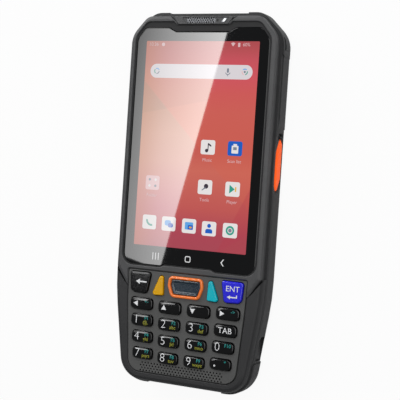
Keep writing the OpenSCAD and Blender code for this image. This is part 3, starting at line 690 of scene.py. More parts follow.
# Orange polycarbonate, moulded with a satin face; a painted glow makes the orange brighter
ORANGE_PLASTIC_PAINTED_GLOW = Finish("orange_plastic", "#ff5c0c", 0.36, 0.5, 0.08, mottle=0.04, specular=0.3, glow=0.4)
# The same orange with a glossy lacquer on the key ring, and a weaker painted glow
RING_ORANGE_PAINTED_GLOW = Finish("ring_orange", "#f07a30", 0.25, 0.6, 0.04, mottle=0.05, coat=0.4, glow=0.15)
# Silicone keys with a clear polyurethane drop: wet gloss over the colour
KEY_BLACK = Finish("key_black", "#09090a", 0.09, 1.2, 0.03, coat=0.15, rough_spread=0.02)
KEY_AMBER = Finish("key_amber", "#e6aa00", 0.24, 1.2, 0.05, specular=0.25, coat=0.05)
KEY_TEAL = Finish("key_teal", "#00bccb", 0.2, 1.2, 0.05, coat=0.15)
KEY_BLUE = Finish("key_blue", "#2422e0", 0.2, 1.2, 0.05, coat=0.5)
KEY_SCAN = Finish("key_scan", "#23323e", 0.16, 1.2, 0.03, coat=0.3)
# Plain moulded silicone, solder-masked glass epoxy and foam: the matt pieces inside
SILICONE_MAT = Finish("silicone_mat", "#333335", 0.6, 0.8, 0.2)
CIRCUIT_BOARD = Finish("circuit_board", "#1e5b36", 0.42, 0.6, 0.15)
SEAL_ORANGE = Finish("seal_orange", "#c5601f", 0.6, 0.6, 0.1)
# Moulded ABS of side keys and inner mouldings: satin
SIDE_KEY = Finish("side_key", "#2b2b2d", 0.42, 0.5, 0.15)
BLACK_PLASTIC = Finish("black_plastic", "#1a1a1c", 0.45, 0.5, 0.15)
# Red-tinted acrylic that passes the scanner's light: polished, nearly black
WINDOW_RED = Finish("window_red", "#2a070c", 0.06, 3.0, 0.0, ior=1.49, rough_spread=0.02, coat=0.3)
# Coated camera glass: a polished dark mirror
LENS_GLASS = Finish("lens_glass", "#0c0d12", 0.05, 3.0, 0.0, ior=1.52, rough_spread=0.02)
# Milky acrylic over the flash: pale cream
FLASH_DIFFUSER = Finish("flash_diffuser", "#f2ecd2", 0.35, 0.8, 0.2)
# Amber polyimide film
POLYIMIDE = Finish("polyimide", "#8a6a2e", 0.35, 1.0, 0.1)
# Gold-plated contacts and plain machined steel: bright metals
GOLD_CONTACT = Finish("gold_contact", "#d9a441", 0.26, 0.5, 0.05, metallic=1.0)
STEEL = Finish("steel", "#8f9195", 0.32, 0.4, 0.1, metallic=1.0)
# Screen-printed legends under the key's clear drop: flat colours
LEGEND_WHITE = Finish("legend_white", "#f2f3f4", 0.4, 0.8, 0.0, mottle=0.02)
LEGEND_TEAL = Finish("legend_teal", "#178f8a", 0.4, 0.8, 0.0, mottle=0.02)
LEGEND_LIME = Finish("legend_lime", "#94942a", 0.4, 0.8, 0.0, mottle=0.02)


def screen_finish(name: str, colour: str) -> Finish:
    """A lit colour of the display seen through the glass, its glow painted dimmer under the mirrored light."""
    return Finish(name, colour, 0.02, 4.0, 0.0, mottle=0.0, rough_spread=0.0, ior=1.52, glow=0.92, lit=True)


UI_WHITE = screen_finish("ui_white", "#ebe7e6")
UI_PALE = screen_finish("ui_pale", "#dfd9dd")
UI_GREY = screen_finish("ui_grey", "#7f8794")
UI_DARK = screen_finish("ui_dark", "#3c3440")
UI_BLUE = screen_finish("ui_blue", "#1c5fc4")
UI_SKY = screen_finish("ui_sky", "#62a8e8")
UI_TEAL = screen_finish("ui_teal", "#35a08c")
UI_AMBER = screen_finish("ui_amber", "#e8b23c")
UI_PINK = screen_finish("ui_pink", "#e8bdbf")
UI_SOFT = screen_finish("ui_soft", "#dcb8bb")
UI_KEYS = screen_finish("touch_marks", "#e6e7e8")

# CAD nodes by finish; all other nodes are black keys
NODES_OF: dict[Finish, str] = {
    FRONT_PLASTIC: "front_bezel earpiece_plate", PANEL_PLASTIC: "keypad_panel", TOUCH_GLASS: "touch_glass",
    SEAL_BLACK: "glass_seal", DISPLAY: "display_panel", LIGHT_GUIDE: "status_light", RING_ORANGE_PAINTED_GLOW: "scan_ring",
    SHEET_METAL: "display_frame earpiece_receiver side_switches", SILICONE_MAT: "key_mat",
    CIRCUIT_BOARD: "key_board main_board", BLACK_PLASTIC: "loudspeaker scan_engine camera_module battery_pack",
    HOUSING_PLASTIC: "rear_housing battery_cover", RUBBER_DARK: "side_rubber port_flap", SEAL_ORANGE: "case_seal",
    ORANGE_PLASTIC_PAINTED_GLOW: "trigger_right trigger_left", SIDE_KEY: "power_key volume_rocker", WINDOW_RED: "scan_window",
    LENS_GLASS: "camera_window", FLASH_DIFFUSER: "flash_lens", POLYIMIDE: "antenna_patch",
    STEEL: "vibration_motor data_port flap_pin cover_lock_left cover_lock_right housing_screws",
    GOLD_CONTACT: "battery_terminals cradle_contacts", KEY_AMBER: "key_amber", KEY_SCAN: "key_scan",
    KEY_TEAL: "key_teal", KEY_BLUE: "key_enter",
}


def dress(obj: Piece, finish: Finish) -> Piece:
    """Gives a piece one finish."""
    obj.data.materials.clear()
    obj.data.materials.append(finish.material())
    obj.data.polygons.foreach_set("material_index", [0] * len(obj.data.polygons))
    return obj


def seat(obj: Piece, body: str, nodes: tuple[str, ...] = ()) -> None:
    """Hands a finished piece to the frame.

    Args:
        obj: the piece, in place.
        body: the CAD body that it rides on.
        nodes: the CAD nodes that it stands for.
    """
    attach(obj, body)
    if nodes:
        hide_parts(*nodes)
    LOG.info("%s rides on %s (%d faces)", obj.name, body, len(obj.data.polygons))


def complete(obj: Piece, finish: Finish, angle: float, node: str = "", body: str = "root") -> None:
    """Dresses, shades and seats a piece.

    Args:
        obj: the piece, in place.
        finish: its finish.
        angle: the edge angle in degrees up to which its shading is smooth.
        node: the CAD node that it stands for, if any.
        body: the CAD body that it rides on.
    """
    shade(dress(obj, finish), angle)
    seat(obj, body, (node,) if node else ())


# ---------------------------------------------------------------- geometry nodes
class Number:
    """A value in a geometry tree that takes the usual operators."""

    def __init__(self, tree: Tree, socket: Socket) -> None:
        """Keeps the tree and the socket that gives the value."""
        self.tree = tree
        self.socket = socket

    def __add__(self, other: Number | float) -> Number:
        """The sum."""
        return self.tree.math("ADD", self, other)

    def __sub__(self, other: Number | float) -> Number:
        """The difference."""
        return self.tree.math("SUBTRACT", self, other)

    def __mul__(self, other: Number | float) -> Number:
        """The product."""
        return self.tree.math("MULTIPLY", self, other)

    def __truediv__(self, other: Number | float) -> Number:
        """The quotient."""
        return self.tree.math("DIVIDE", self, other)

    def __pow__(self, other: Number | float) -> Number:
        """The power."""
        return self.tree.math("POWER", self, other)

    def __abs__(self) -> Number:
        """The value without its sign."""
        return self.tree.math("ABSOLUTE", self)


class Tree:
    """A geometry tree under construction, with named inputs."""

    def __init__(self, name: str, inputs: dict[str, float], on_mesh: bool = False) -> None:
        """Starts a tree.

        Args:
            name: the tree's name.
            inputs: the default value of each named input; a whole number makes a whole-number input.
            on_mesh: whether the tree starts from the mesh of its object.
        """
        self.tree = bpy.data.node_groups.new(name, "GeometryNodeTree")
        if on_mesh:
            self.socket("Points", "NodeSocketGeometry")
        for key, value in inputs.items():
            self.socket(key, "NodeSocketInt" if isinstance(value, int) else "NodeSocketFloat").default_value = value
        self.socket("Material", "NodeSocketMaterial")
        self.socket("Geometry", "NodeSocketGeometry", "OUTPUT")
        self.given = self.tree.nodes.new("NodeGroupInput")

    def socket(self, name: str, kind: str, way: str = "INPUT") -> bpy.types.NodeTreeInterfaceSocket:
        """Adds an input or an output to the tree."""
        return self.tree.interface.new_socket(name=name, in_out=way, socket_type=kind)

    def value(self, name: str) -> Number:
        """The value of a named input."""
        return Number(self, self.given.outputs[name])

    def add(self, kind: str, inputs: dict | None = None, **settings: object) -> bpy.types.Node:
        """Adds a node to the tree, as add_node does; an input may also get a Number."""
        plain = {k: v.socket if isinstance(v, Number) else v for k, v in (inputs or {}).items()}
        return add_node(self.tree, kind, plain, **settings)

    def math(self, operation: str, a: Number | float, b: Number | float = 0.0) -> Number:
        """One sum of two values."""
        return Number(self, self.add("ShaderNodeMath", {0: a, 1: b}, operation=operation).outputs[0])

    def position(self) -> list[Number]:
        """X, Y and Z of each point."""
        place = self.add("GeometryNodeInputPosition")
        axes = self.add("ShaderNodeSeparateXYZ", {0: place.outputs[0]})
        return [Number(self, socket) for socket in axes.outputs]

    def vector(self, x: Number | float = 0.0, y: Number | float = 0.0, z: Number | float = 0.0) -> Socket:
        """A vector of three values."""
        return self.add("ShaderNodeCombineXYZ", {0: x, 1: y, 2: z}).outputs[0]

    def moved(self, geometry: Socket, position: Socket) -> Socket:
        """Geometry with its points put in another place."""
        return self.add("GeometryNodeSetPosition", {"Geometry": geometry, "Position": position}).outputs[0]

    def placed(self, instance: Socket, points: Socket) -> Socket:
        """One instance at each point."""
        return self.add("GeometryNodeInstanceOnPoints", {"Points": points, "Instance": instance}).outputs[0]

    def close(self, geometry: Socket) -> NodeTree:
        """Ends the tree with Realize Instances and Set Material."""
        whole = self.add("GeometryNodeRealizeInstances", {"Geometry": geometry})
        done = self.add("GeometryNodeSetMaterial", {"Geometry": whole.outputs[0], "Material": self.value("Material")})
        self.add("NodeGroupOutput", {"Geometry": done.outputs[0]})
        return self.tree


# Inputs of the trees that are no lengths
RATIOS = ("Squareness", "Crown")


def grown(name: str, tree: NodeTree, values: dict[str, float], finish: Finish, base: Piece | None = None) -> Piece:
    """Runs a geometry tree once and keeps the result as plain mesh.

    Args:
        name: the object's name.
        tree: the geometry tree.
        values: its named inputs, lengths in millimetres; whole numbers and ratios keep their value.
        finish: the finish that the tree sets.
        base: an object whose mesh the tree starts from, if it needs one.

    Returns:
        The object, without its modifier.
    """
    obj = base or new_object(name, bmesh.new())
    modifier = obj.modifiers.new("Rule", "NODES")
    modifier.node_group = tree
    for item in tree.interface.items_tree:
        if item.name in values:
            plain = isinstance(values[item.name], int) or item.name in RATIOS
            modifier[item.identifier] = values[item.name] * (1 if plain else MM)
        elif item.name == "Material":
            modifier[item.identifier] = finish.material()
    return settle(obj)


def key_cap_tree() -> NodeTree:
    """A key cap by rule: a superellipse outline under a superellipsoid crown."""
    t = Tree("key_cap", {"Width": 0.01, "Height": 0.005, "Base": 0.0159, "Shoulder": 0.0179, "Top": 0.0185,
                         "Squareness": 4.6, "Crown": 4.0})
    bar = t.add("GeometryNodeMeshCylinder", {"Vertices": 72, "Side Segments": 3, "Fill Segments": 12, "Radius": 1.0,
                                             "Depth": 1.0}, fill_type="TRIANGLE_FAN")
    x, y, z = t.position()
    r = t.math("MAXIMUM", t.math("SQRT", x * x + y * y), 1e-5)
    c, s = x / r, y / r
    n, crown = t.value("Squareness"), t.value("Crown")
    base, shoulder, top = t.value("Base"), t.value("Shoulder"), t.value("Top")
    total = t.math("MAXIMUM", abs(c) ** n + abs(s) ** n, 0.01)
    rho = total ** t.math("DIVIDE", -1.0, n)
    out = t.math("SINE", t.math("MINIMUM", r, 1.0) * (math.pi / 2))
    reach = rho * (out * 0.5)
    rest = t.math("MAXIMUM", t.math("SUBTRACT", 1.0, out ** crown), 0.0)
    dome = rest ** t.math("DIVIDE", 1.0, crown) * (top - shoulder) * t.math("GREATER_THAN", z, 0.499)
    height = base + (z + 0.5) * (shoulder - base) + dome
    spot = t.vector(c * reach * t.value("Width"), s * reach * t.value("Height"), height)
    return t.close(t.moved(bar.outputs["Mesh"], spot))


def perforation_tree() -> NodeTree:
    """Staggered rows of small round rods that cut a field of sound holes."""
    t = Tree("perforation", {"Columns": 27, "Rows": 4, "Pitch": 0.00145, "Row Pitch": 0.0011, "Radius": 0.0003,
                             "Depth": 0.003, "Centre Z": 0.017})
    pitch, row_pitch = t.value("Pitch"), t.value("Row Pitch")
    wide, high = (t.value("Columns") - 1.0) * pitch, (t.value("Rows") - 1.0) * row_pitch
    grid = t.add("GeometryNodeMeshGrid", {"Size X": wide, "Size Y": high, "Vertices X": t.value("Columns"),
                                          "Vertices Y": t.value("Rows")})
    x, y, _ = t.position()
    y = y + high * 0.5
    odd = t.math("MODULO", t.math("ROUND", y / row_pitch), 2.0)
    shift = odd * 0.5 * pitch
    past = t.math("GREATER_THAN", x + shift, wide * 0.5001)
    kept = t.add("GeometryNodeDeleteGeometry", {"Geometry": grid.outputs["Mesh"], "Selection": past})
    points = t.moved(kept.outputs[0], t.vector(x + shift, y, t.value("Centre Z")))
    bar = t.add("GeometryNodeMeshCylinder", {"Vertices": 12, "Radius": t.value("Radius"), "Depth": t.value("Depth")})
    return t.close(t.placed(bar.outputs["Mesh"], points))


def screw_tree() -> NodeTree:
    """Pan-head screws with a hex recess, one at each point of a mesh, head downwards."""
    t = Tree("hex_screws", {"Head Radius": 0.00135, "Head Height": 0.0012, "Recess Radius": 0.00075,
                            "Recess Depth": 0.0006}, True)
    radius, height = t.value("Head Radius"), t.value("Head Height")
    head = t.add("GeometryNodeMeshCone", {"Vertices": 48, "Side Segments": 1, "Radius Bottom": radius * 0.8,
                                          "Radius Top": radius, "Depth": height * 0.25}, fill_type="NGON")
    body = t.add("GeometryNodeMeshCylinder", {"Vertices": 48, "Radius": radius, "Depth": height * 0.75})
    lift = t.add("GeometryNodeTransform", {"Geometry": body.outputs["Mesh"], "Translation": t.vector(z=height * 0.625)})
    hexagon = t.add("GeometryNodeMeshCylinder", {"Vertices": 6, "Radius": t.value("Recess Radius"),
                                                 "Depth": t.value("Recess Depth") * 2.0})
    whole = t.add("GeometryNodeMeshBoolean", operation="UNION", solver="EXACT")
    for part in (head.outputs["Mesh"], lift.outputs[0]):
        t.tree.links.new(part, whole.inputs[1])
    bored = t.add("GeometryNodeMeshBoolean", {0: whole.outputs[0], 1: hexagon.outputs["Mesh"]},
                  operation="DIFFERENCE", solver="EXACT")
    return t.close(t.placed(bored.outputs[0], t.given.outputs["Points"]))


def rib_tree() -> NodeTree:
    """A row of round bars along X, all alike."""
    t = Tree("grip_ribs", {"Count": 6, "Pitch": 0.0026, "Length": 0.028, "Radius": 0.0006})
    line = t.add("GeometryNodeMeshLine", {"Count": t.value("Count"), "Offset": t.vector(y=t.value("Pitch"))},
                 mode="OFFSET")
    bar = t.add("GeometryNodeMeshCylinder", {"Vertices": 20, "Radius": t.value("Radius"),
                                             "Depth": t.value("Length") - t.value("Radius")})
    turn = t.add("GeometryNodeTransform", {"Geometry": bar.outputs["Mesh"], "Rotation": (0, math.pi / 2, 0)})
    return t.close(t.placed(turn.outputs[0], line.outputs[0]))


# ---------------------------------------------------------------- prints
def plate(name: str, points: list[Point], z: float, finish: Finish) -> Piece:
    """A flat print with an outline of points, facing up."""
    bm = bmesh.new()
    face = bm.faces.new([bm.verts.new(Vector((x, y, z)) * MM) for x, y in points])
    bm.normal_update()
    if face.normal.z < 0:
        face.normal_flip()
    return dress(new_object(name, bm), finish)


def lettering(name: str, text: str, size: float, x: float, y: float, z: float, finish: Finish,
              bold: float = 0.0) -> Piece:
    """Text as flat mesh in the default face.

    Args:
        name: the object's name.
        text: the characters.
        size: the height of the face.
        x, y, z: where its middle lies.
        finish: its finish.
        bold: how far the strokes grow.

    Returns:
        The new mesh object.
    """
    data = bpy.data.curves.new(name, "FONT")
    data.body = text
    data.size = size * MM
    data.offset = bold * MM
    data.align_x = data.align_y = "CENTER"
    data.resolution_u = 4
    curve = bpy.data.objects.new(name + "_curve", data)
    bpy.context.scene.collection.objects.link(curve)
    bpy.context.view_layer.update()
    mesh = bpy.data.meshes.new_from_object(curve.evaluated_get(bpy.context.evaluated_depsgraph_get()))
    bpy.data.objects.remove(curve)
    bpy.data.curves.remove(data)
    bm = bmesh.new()
    bm.from_mesh(mesh)
    bpy.data.meshes.remove(mesh)
    bmesh.ops.translate(bm, vec=Vector((x, y, z)) * MM, verts=bm.verts)
    bmesh.ops.remove_doubles(bm, verts=bm.verts, dist=1e-7)
    return dress(new_object(name, bm), finish)


def drape(prints: Piece, onto: Piece, lift: float = 0.045, longest: float = 0.3) -> None:
    """Lays a flat print on the top of a curved piece.

    Args:
        prints: the flat print, above the piece.
        onto: the piece.
        lift: how far the print stands off.
        longest: longest edge left before it is laid down.
    """
    bm = bmesh.new()
    bm.from_mesh(prints.data)
    bmesh.ops.triangulate(bm, faces=bm.faces)
    for _ in range(4):
        long_edges = [e for e in bm.edges if e.calc_length() > longest * MM]
        if not long_edges:
            break
        bmesh.ops.subdivide_edges(bm, edges=long_edges, cuts=1)
        bmesh.ops.triangulate(bm, faces=bm.faces)
    mesh = onto.data
    tree = BVHTree.FromPolygons([v.co for v in mesh.vertices], [tuple(p.vertices) for p in mesh.polygons])
    for vert in bm.verts:
        hit = tree.ray_cast(Vector((vert.co.x, vert.co.y, 0.05)), Vector((0, 0, -1)))[0]
        if hit:
            vert.co.z = hit.z + lift * MM
    bm.to_mesh(prints.data)
    bm.free()


# ---------------------------------------------------------------- front
@dataclass
class Front:
    """Front bezel, touch glass with its display, seal and earpiece tab."""

    slope: float = 1.2
    rim_edge: float = 0.3
    tab_z: float = 16.8
    sensor: Point = (6.5, S.slot_y0 + 1.2)

    def build(self) -> None:
        """Makes all front pieces."""
        self.bezel()
        self.glass()
        self.seal()
        self.earpiece()

    def bezel(self) -> None:
        """The moulded ring round the glass, with a sloping outer band and two pointed tips."""
        top = S.rim_z
        steps = [(S.part_z + 0.02, 0), (top - 0.75, 0), (top - 0.5, 0.1), (top - 0.33, 0.3), (top - 0.25, 0.55),
                 (top - 0.05, self.slope), (top, self.slope + 0.2)]
        ring = moulding("bezel_moulding", S.bezel(), steps)
        x = S.glass_x - 1.9
        combine(ring, [
            flare(inset(S.panel(), -S.fit_gap), S.part_z - 1, top - 0.2, 0.3),
            flare(S.rim(), S.ledge_z, top, self.rim_edge),
            flare(S.tab_room(), self.tab_z, top, 0.12),
            flare(S.tab_groove(), top - 0.8, top, 0.15),
            prism(both([(x, S.glass_y1 - 2.6, 2), (x, S.glass_y0 + 1.6, 3)]), S.part_z - 1, S.ledge_z + 0.1),
        ], crossing=True)
        complete(ring, FRONT_PLASTIC, 24, "front_bezel")

    def glass(self) -> None:
        """The touch glass with a ground edge, the lit display behind it and the touch marks."""
        z = S.glass_z
        steps = [(S.ledge_z, 0.1), (S.ledge_z + 0.1, 0), (z - 0.25, 0), (z - 0.12, 0.05), (z - 0.03, 0.18), (z, 0.4)]
        complete(moulding("cover_glass", S.glass(), steps), TOUCH_GLASS, 30, "touch_glass")
        Screen().build()

    def seal(self) -> None:
        """The dark seal ring in the gap round the glass."""
        top = S.glass_z + 0.08
        seal = moulding("seal_ring", inset(S.rim(), 0.05), [(S.ledge_z, 0), (S.glass_z - 0.05, 0), (top, 0.12)])
        combine(seal, [flare(inset(S.glass(), -0.05), S.ledge_z - 1, top, 0.1)])
        complete(seal, SEAL_BLACK, 30, "glass_seal")

    def earpiece(self) -> None:
        """The tab over the receiver with its slot, sound holes, sensor and status light."""
        y0, top, low = S.slot_y0, S.rim_z, self.tab_z
        tab = moulding("receiver_tab", S.tab(), [(low, 0), (top - 0.25, 0), (top - 0.08, 0.08), (top, 0.25)])
        for cutter in (flare(S.tab_slot(), top - 0.35, top, 0.2), rod(*self.sensor, low - 1, top, 0.55, count=24),
                       prism(inset(S.light(), -0.05), low - 1, top + 1), self.holes("receiver_holes", 0.26)):
            combine(tab, [cutter])
        complete(tab, FRONT_PLASTIC, 30, "earpiece_plate")
        mesh = prism(box(-7.4, 5.6, y0 + 0.1, S.slot_y1 - 0.15, 0.3), top - 0.36, top - 0.3, name="receiver_mesh")
        complete(combine(mesh, [self.holes("mesh_holes", 0.34)]), MESH_METAL, 30)
        strip = [(14.4, S.hl - 2.0, 0.1), (16.6, S.hl - 2.0, 0.1), (13.1, S.glass_y1 + 2.3, 0.1),
                 (12.2, S.glass_y1 + 2.3, 0.1)]
        # Thin dark strips on the floors of the grooves beside the tab, so that the grooves read dark
        dark_groove_floors = [prism(outline, top - 0.82, top - 0.72) for outline in mirror_pair(strip)]
        complete(join("tab_dark_groove_floors", dark_groove_floors), SEAL_BLACK, 30)
        complete(turned("light_sensor", *self.sensor, [(low, 0.5), (top - 0.42, 0.5)], 24), BLACK_PLASTIC, 30)
        guide = moulding("light_guide", S.light(), [(low, 0), (top - 0.2, 0), (top - 0.12, 0.1)])
        complete(guide, LIGHT_GUIDE, 30, "status_light")
        # A painted highlight along the guide: a thin near-white strip that glows
        core = prism(moved(inset(S.light(), 0.32), 0.1, 0), top - 0.13, top - 0.1, name="guide_highlight_strip")
        complete(core, GUIDE_HIGHLIGHT_STRIP, 30)

    def holes(self, name: str, radius: float) -> Piece:
        """Cutters for the sound holes over the receiver."""
        rods = grown(name, perforation_tree(), {"Columns": 12, "Rows": 3, "Pitch": 1.05, "Row Pitch": 0.8,
                                                "Radius": radius, "Depth": 4.0, "Centre Z": self.tab_z}, BLACK_PLASTIC)
        return shifted(rods, -1.1, S.slot_y0 + 0.4)


# Colours of the display image from foot to head: right of the mirrored light its own colours, under it duller, browner
# colours painted to suit that reflection
CORAL_STOPS = ((0.0, "#a44552"), (0.08, "#a94453"), (0.2, "#bd5652"), (0.38, "#c96658"), (0.47, "#c4594f"),
               (0.66, "#c65b56"), (0.75, "#c85459"), (0.83, "#ca4c62"), (0.91, "#be4960"), (0.96, "#a64355"),
               (1.0, "#963c4e"))
GLARE_PAINTED_STOPS = ((0.0, "#903c48"), (0.06, "#9b474d"), (0.19, "#a75a62"), (0.3, "#b0706c"), (0.42, "#b6806f"),
              (0.55, "#b4806a"), (0.66, "#aa765c"), (0.76, "#a46a54"), (0.84, "#a05e50"), (0.9, "#8a3640"),
              (0.95, "#802c3a"), (1.0, "#74202c"))
# Soft-edged facets: how much x and y count, where each starts and ends, its colour and its share
FACETS = ((0.7, 0.7, 16, 17, "#d0604c", 0.3), (0.9, -0.44, 20, 21, "#b03a48", 0.35),
          (0.55, -0.83, 24, 25, "#a84a50", 0.3), (-1.0, 0.0, 14, 26, "#a8642e", 0.35))
# A darker facet of the colours painted under the mirrored light
GLARE_PAINTED_FACET = (-0.2, 0.98, 39.6, 40.4, "#6e5a48", 0.22)


def wallpaper_material() -> bpy.types.Material:
    """A lit gradient of reds and corals with soft diagonal facets, painted duller and browner under the mirrored light.
    """
    material, tree = new_material("display_image")
    place = add_node(tree, "ShaderNodeTexCoord")
    axes = add_node(tree, "ShaderNodeSeparateXYZ", {0: place.outputs["Object"]})
    height = add_node(tree, "ShaderNodeMapRange", {"Value": axes.outputs[1], "From Min": -20.3 * MM,
                                                   "From Max": 66.2 * MM})

    def upwards(stops: tuple[tuple[float, str], ...]) -> Socket:
        """Colours from the foot to the head of the display."""
        return colour_ramp(tree, height.outputs["Result"], [(at, linear(colour)) for at, colour in stops])

    def mixed(share: Socket, below: Socket, above: Socket | tuple) -> Socket:
        """One colour over another."""
        return add_node(tree, "ShaderNodeMix", {0: share, 6: below, 7: above}, data_type="RGBA").outputs[2]

    def facet(below: Socket, a: float, b: float, start: float, end: float, colour: str, share: float) -> Socket:
        """A soft-edged facet over a colour."""
        return mixed(along(tree, axes, a, b, start, end, 0.0, share), below, linear(colour))

    coral, glare_painted = upwards(CORAL_STOPS), upwards(GLARE_PAINTED_STOPS)
    # Past the edge of the mirrored light the image turns to the colours painted for that reflection
    image = mixed(along(tree, axes, *GLARE_EDGE), coral, facet(glare_painted, *GLARE_PAINTED_FACET))
    for numbers in FACETS:
        image = facet(image, *numbers)
    feed(tree, tree.nodes["Principled BSDF"], {"Emission Color": image, "Emission Strength": 1.0,
                                               "Base Color": linear(UNLIT), "Roughness": 0.02, "IOR": 1.52})
    return material


# A flat mark of the display: its outline, its layer and its colour
Mark = tuple[list[Point], int, Finish]


@dataclass(frozen=True)
class Icon:
    """An icon tile: its centre, the marks on it about that centre, its colour and its caption."""

    x: float
    y: float
    marks: tuple[Mark, ...]
    tile: Finish = UI_WHITE
    caption: str = ""


NOTE = ((circle(-0.5, -1.4, 0.75), 2, UI_DARK), (slab(-0.1, 0.3, -1.3, 1.7, 0.1), 2, UI_DARK),
        ([(0.3, 1.7), (1.5, 0.9), (1.5, 0.2), (0.3, 0.9)], 2, UI_DARK))
CLIPBOARD = ((slab(-1.5, 1.5, -2.0, 1.2, 0.3), 2, UI_WHITE), (slab(-0.8, 0.8, 1.2, 1.9, 0.2), 2, UI_WHITE),
             (slab(-0.8, 0.8, -0.6, 0.6, 0.1), 3, UI_GREY))
FOUR_DOTS = tuple((circle(x, y, 0.55, count=16), 2, finish) for x, y, finish in
                  ((-1.4, 1.3, UI_GREY), (1.4, 1.3, UI_WHITE), (-1.4, -1.3, UI_WHITE), (1.4, -1.3, UI_GREY)))
BRUSH = (([(0.2, 0.3), (0.7, -0.2), (-1.3, -1.5), (-1.5, -1.2)], 2, UI_GREY), (circle(0.5, 0.4, 1.0), 2, UI_DARK))
PLAYER = (([(-1.4, 1.8), (1.0, 0), (-1.4, -1.8)], 2, UI_TEAL), (slab(1.1, 1.7, -1.0, 1.0, 0.1), 2, UI_AMBER))
HANDSET = ((band(0.9, 0.9, 1.7, 2.5, 175, 285), 2, UI_TEAL),)
CHAT = ((slab(-1.9, 1.0, -0.8, 1.5, 0.9), 2, UI_SKY), (slab(-0.3, 2.0, -1.5, 0.4, 0.8), 3, UI_BLUE))
FILES = ((slab(-1.9, 1.9, -1.5, 1.6, 0.4), 2, UI_SKY), (slab(-0.5, 1.9, -1.5, 0.4, 0.3), 3, UI_BLUE),
         (slab(0.1, 1.3, -0.9, -0.2, 0.2), 4, UI_AMBER))
PERSON = ((circle(0, 1.2, 0.85), 2, UI_BLUE),
          (rounded([(-1.6, -0.1, 0.9), (1.6, -0.1, 0.9), (1.6, -1.9, 0.2), (-1.6, -1.9, 0.2)]), 2, UI_BLUE))
GLOBE = ((band(0, 0, 1.1, 1.9, 0, 360), 2, UI_TEAL), (circle(0, 0, 0.8), 2, UI_GREY))

ICONS = (
    Icon(5.9, -0.5, NOTE, caption="Music"), Icon(18.1, -0.5, CLIPBOARD, UI_BLUE, "Scan list"),
    Icon(-18.8, -16.6, FOUR_DOTS, UI_PINK, "Folder"), Icon(5.75, -17.0, BRUSH, caption="Tools"),
    Icon(18.2, -17.1, PLAYER, caption="Player"), Icon(-19.1, -33.3, HANDSET), Icon(-9.9, -33.4, CHAT),
    Icon(-0.4, -33.6, FILES), Icon(8.8, -34.0, PERSON), Icon(18.3, -34.0, GLOBE),
)


@dataclass
class Screen:
    """The lit display image: wallpaper, icons, search field, status marks, and the touch marks."""

    half_w: float = 25.92
    half_h: float = 43.24
    tile_w: float = 6.5
    tile_h: float = 6.0
    base_z: float = 17.51
    layer_t: float = 0.02
    touch_y: float = -47.46
    pieces: list[Piece] = field(default_factory=list)

    def put(self, points: list[Point], layer: int, finish: Finish, x: float = 0.0, y: float = 0.0) -> None:
        """One flat mark about a point of the display."""
        spots = [(px + x, py + y + S.lcd_y) for px, py in points]
        self.pieces.append(plate("mark", spots, self.base_z + layer * self.layer_t, finish))

    def write(self, text: str, size: float, x: float, y: float) -> None:
        """One text of the image."""
        self.pieces.append(lettering("text", text, size, x, y + S.lcd_y, self.base_z + 3 * self.layer_t, UI_SOFT))

    def build(self) -> None:
        """Makes the whole image."""
        self.put(slab(-self.half_w, self.half_w, -self.half_h, self.half_h, 0.4), 0, UI_GREY)
        paper = self.pieces[0]
        paper.data.materials.clear()
        paper.data.materials.append(wallpaper_material())
        self.status_marks()
        self.search_field()
        self.icons()
        self.touch_marks()
        seat(join("display_image", self.pieces), "root")

    def status_marks(self) -> None:
        """Clock, bell, signal and battery marks at the head of the image."""
        self.write("10:36", 2.1, -22.4, 41.8)
        self.put(circle(-17.9, 41.8, 0.75), 1, UI_SOFT)
        self.put([(13.2, 42.4), (14.2, 41.1), (15.2, 42.4), (14.2, 42.8)], 1, UI_SOFT)
        self.put(slab(16.4, 17.4, 40.9, 42.6, 0.2), 1, UI_SOFT)
        self.write("60%", 2.0, 20.2, 41.8)

    def search_field(self) -> None:
        """The pill with its search, microphone and picture marks."""
        self.put(slab(-23.25, 23.6, 27.7, 33.6, 2.9), 1, UI_PALE)
        for colour, start in ((UI_SKY, 20), (UI_TEAL, 140), (UI_GREY, 260)):
            self.put(band(-20.2, 30.6, 0.85, 1.3, start, start + 100), 2, colour)
        self.put(slab(12.2, 13.1, 30.3, 32.2, 0.44), 2, UI_GREY)
        self.put(band(12.65, 30.6, 0.85, 1.15, 190, 350), 2, UI_GREY)
        self.put(slab(12.5, 12.8, 28.9, 29.6, 0.1), 2, UI_GREY)
        for colour, start in ((UI_SKY, 45), (UI_PINK, 165), (UI_TEAL, 285)):
            self.put(band(20.15, 30.8, 0.95, 1.35, start, start + 90), 2, colour)
        self.put(circle(20.15, 30.8, 0.45), 2, UI_GREY)

    def icons(self) -> None:
        """Generic icons on their tiles, then their captions."""
        w, h = self.tile_w / 2, self.tile_h / 2
        for icon in ICONS:
            self.put(slab(-w, w, -h, h, 0.9), 1, icon.tile, icon.x, icon.y)
            for mark in icon.marks:
                self.put(*mark, icon.x, icon.y)
        for icon in ICONS:
            if icon.caption:
                self.write(icon.caption, 1.9, icon.x, icon.y - 5.3)

    def touch_marks(self) -> None:
        """The three marks printed under the display: menu, home and back."""
        y = self.touch_y
        for dx in (-1.3, 0.0, 1.3):
            self.put(slab(-0.17, 0.17, -1.5, 1.5, 0.1), 1, UI_KEYS, -15.1 + dx, y)
        ring, hole = slab(-1.3, 1.3, -1.3, 1.3, 0.7), slab(-0.95, 0.95, -0.95, 0.95, 0.4)
        for i in range(len(ring)):
            j = (i + 1) % len(ring)
            self.put([ring[i], ring[j], hole[j], hole[i]], 1, UI_KEYS, 0, y)
        for way in BOTH_SIDES:
            self.put([(0, 0), (1.1, way * 1.4), (1.55, way * 1.4), (0.5, 0)], 1, UI_KEYS, 15.0, y)


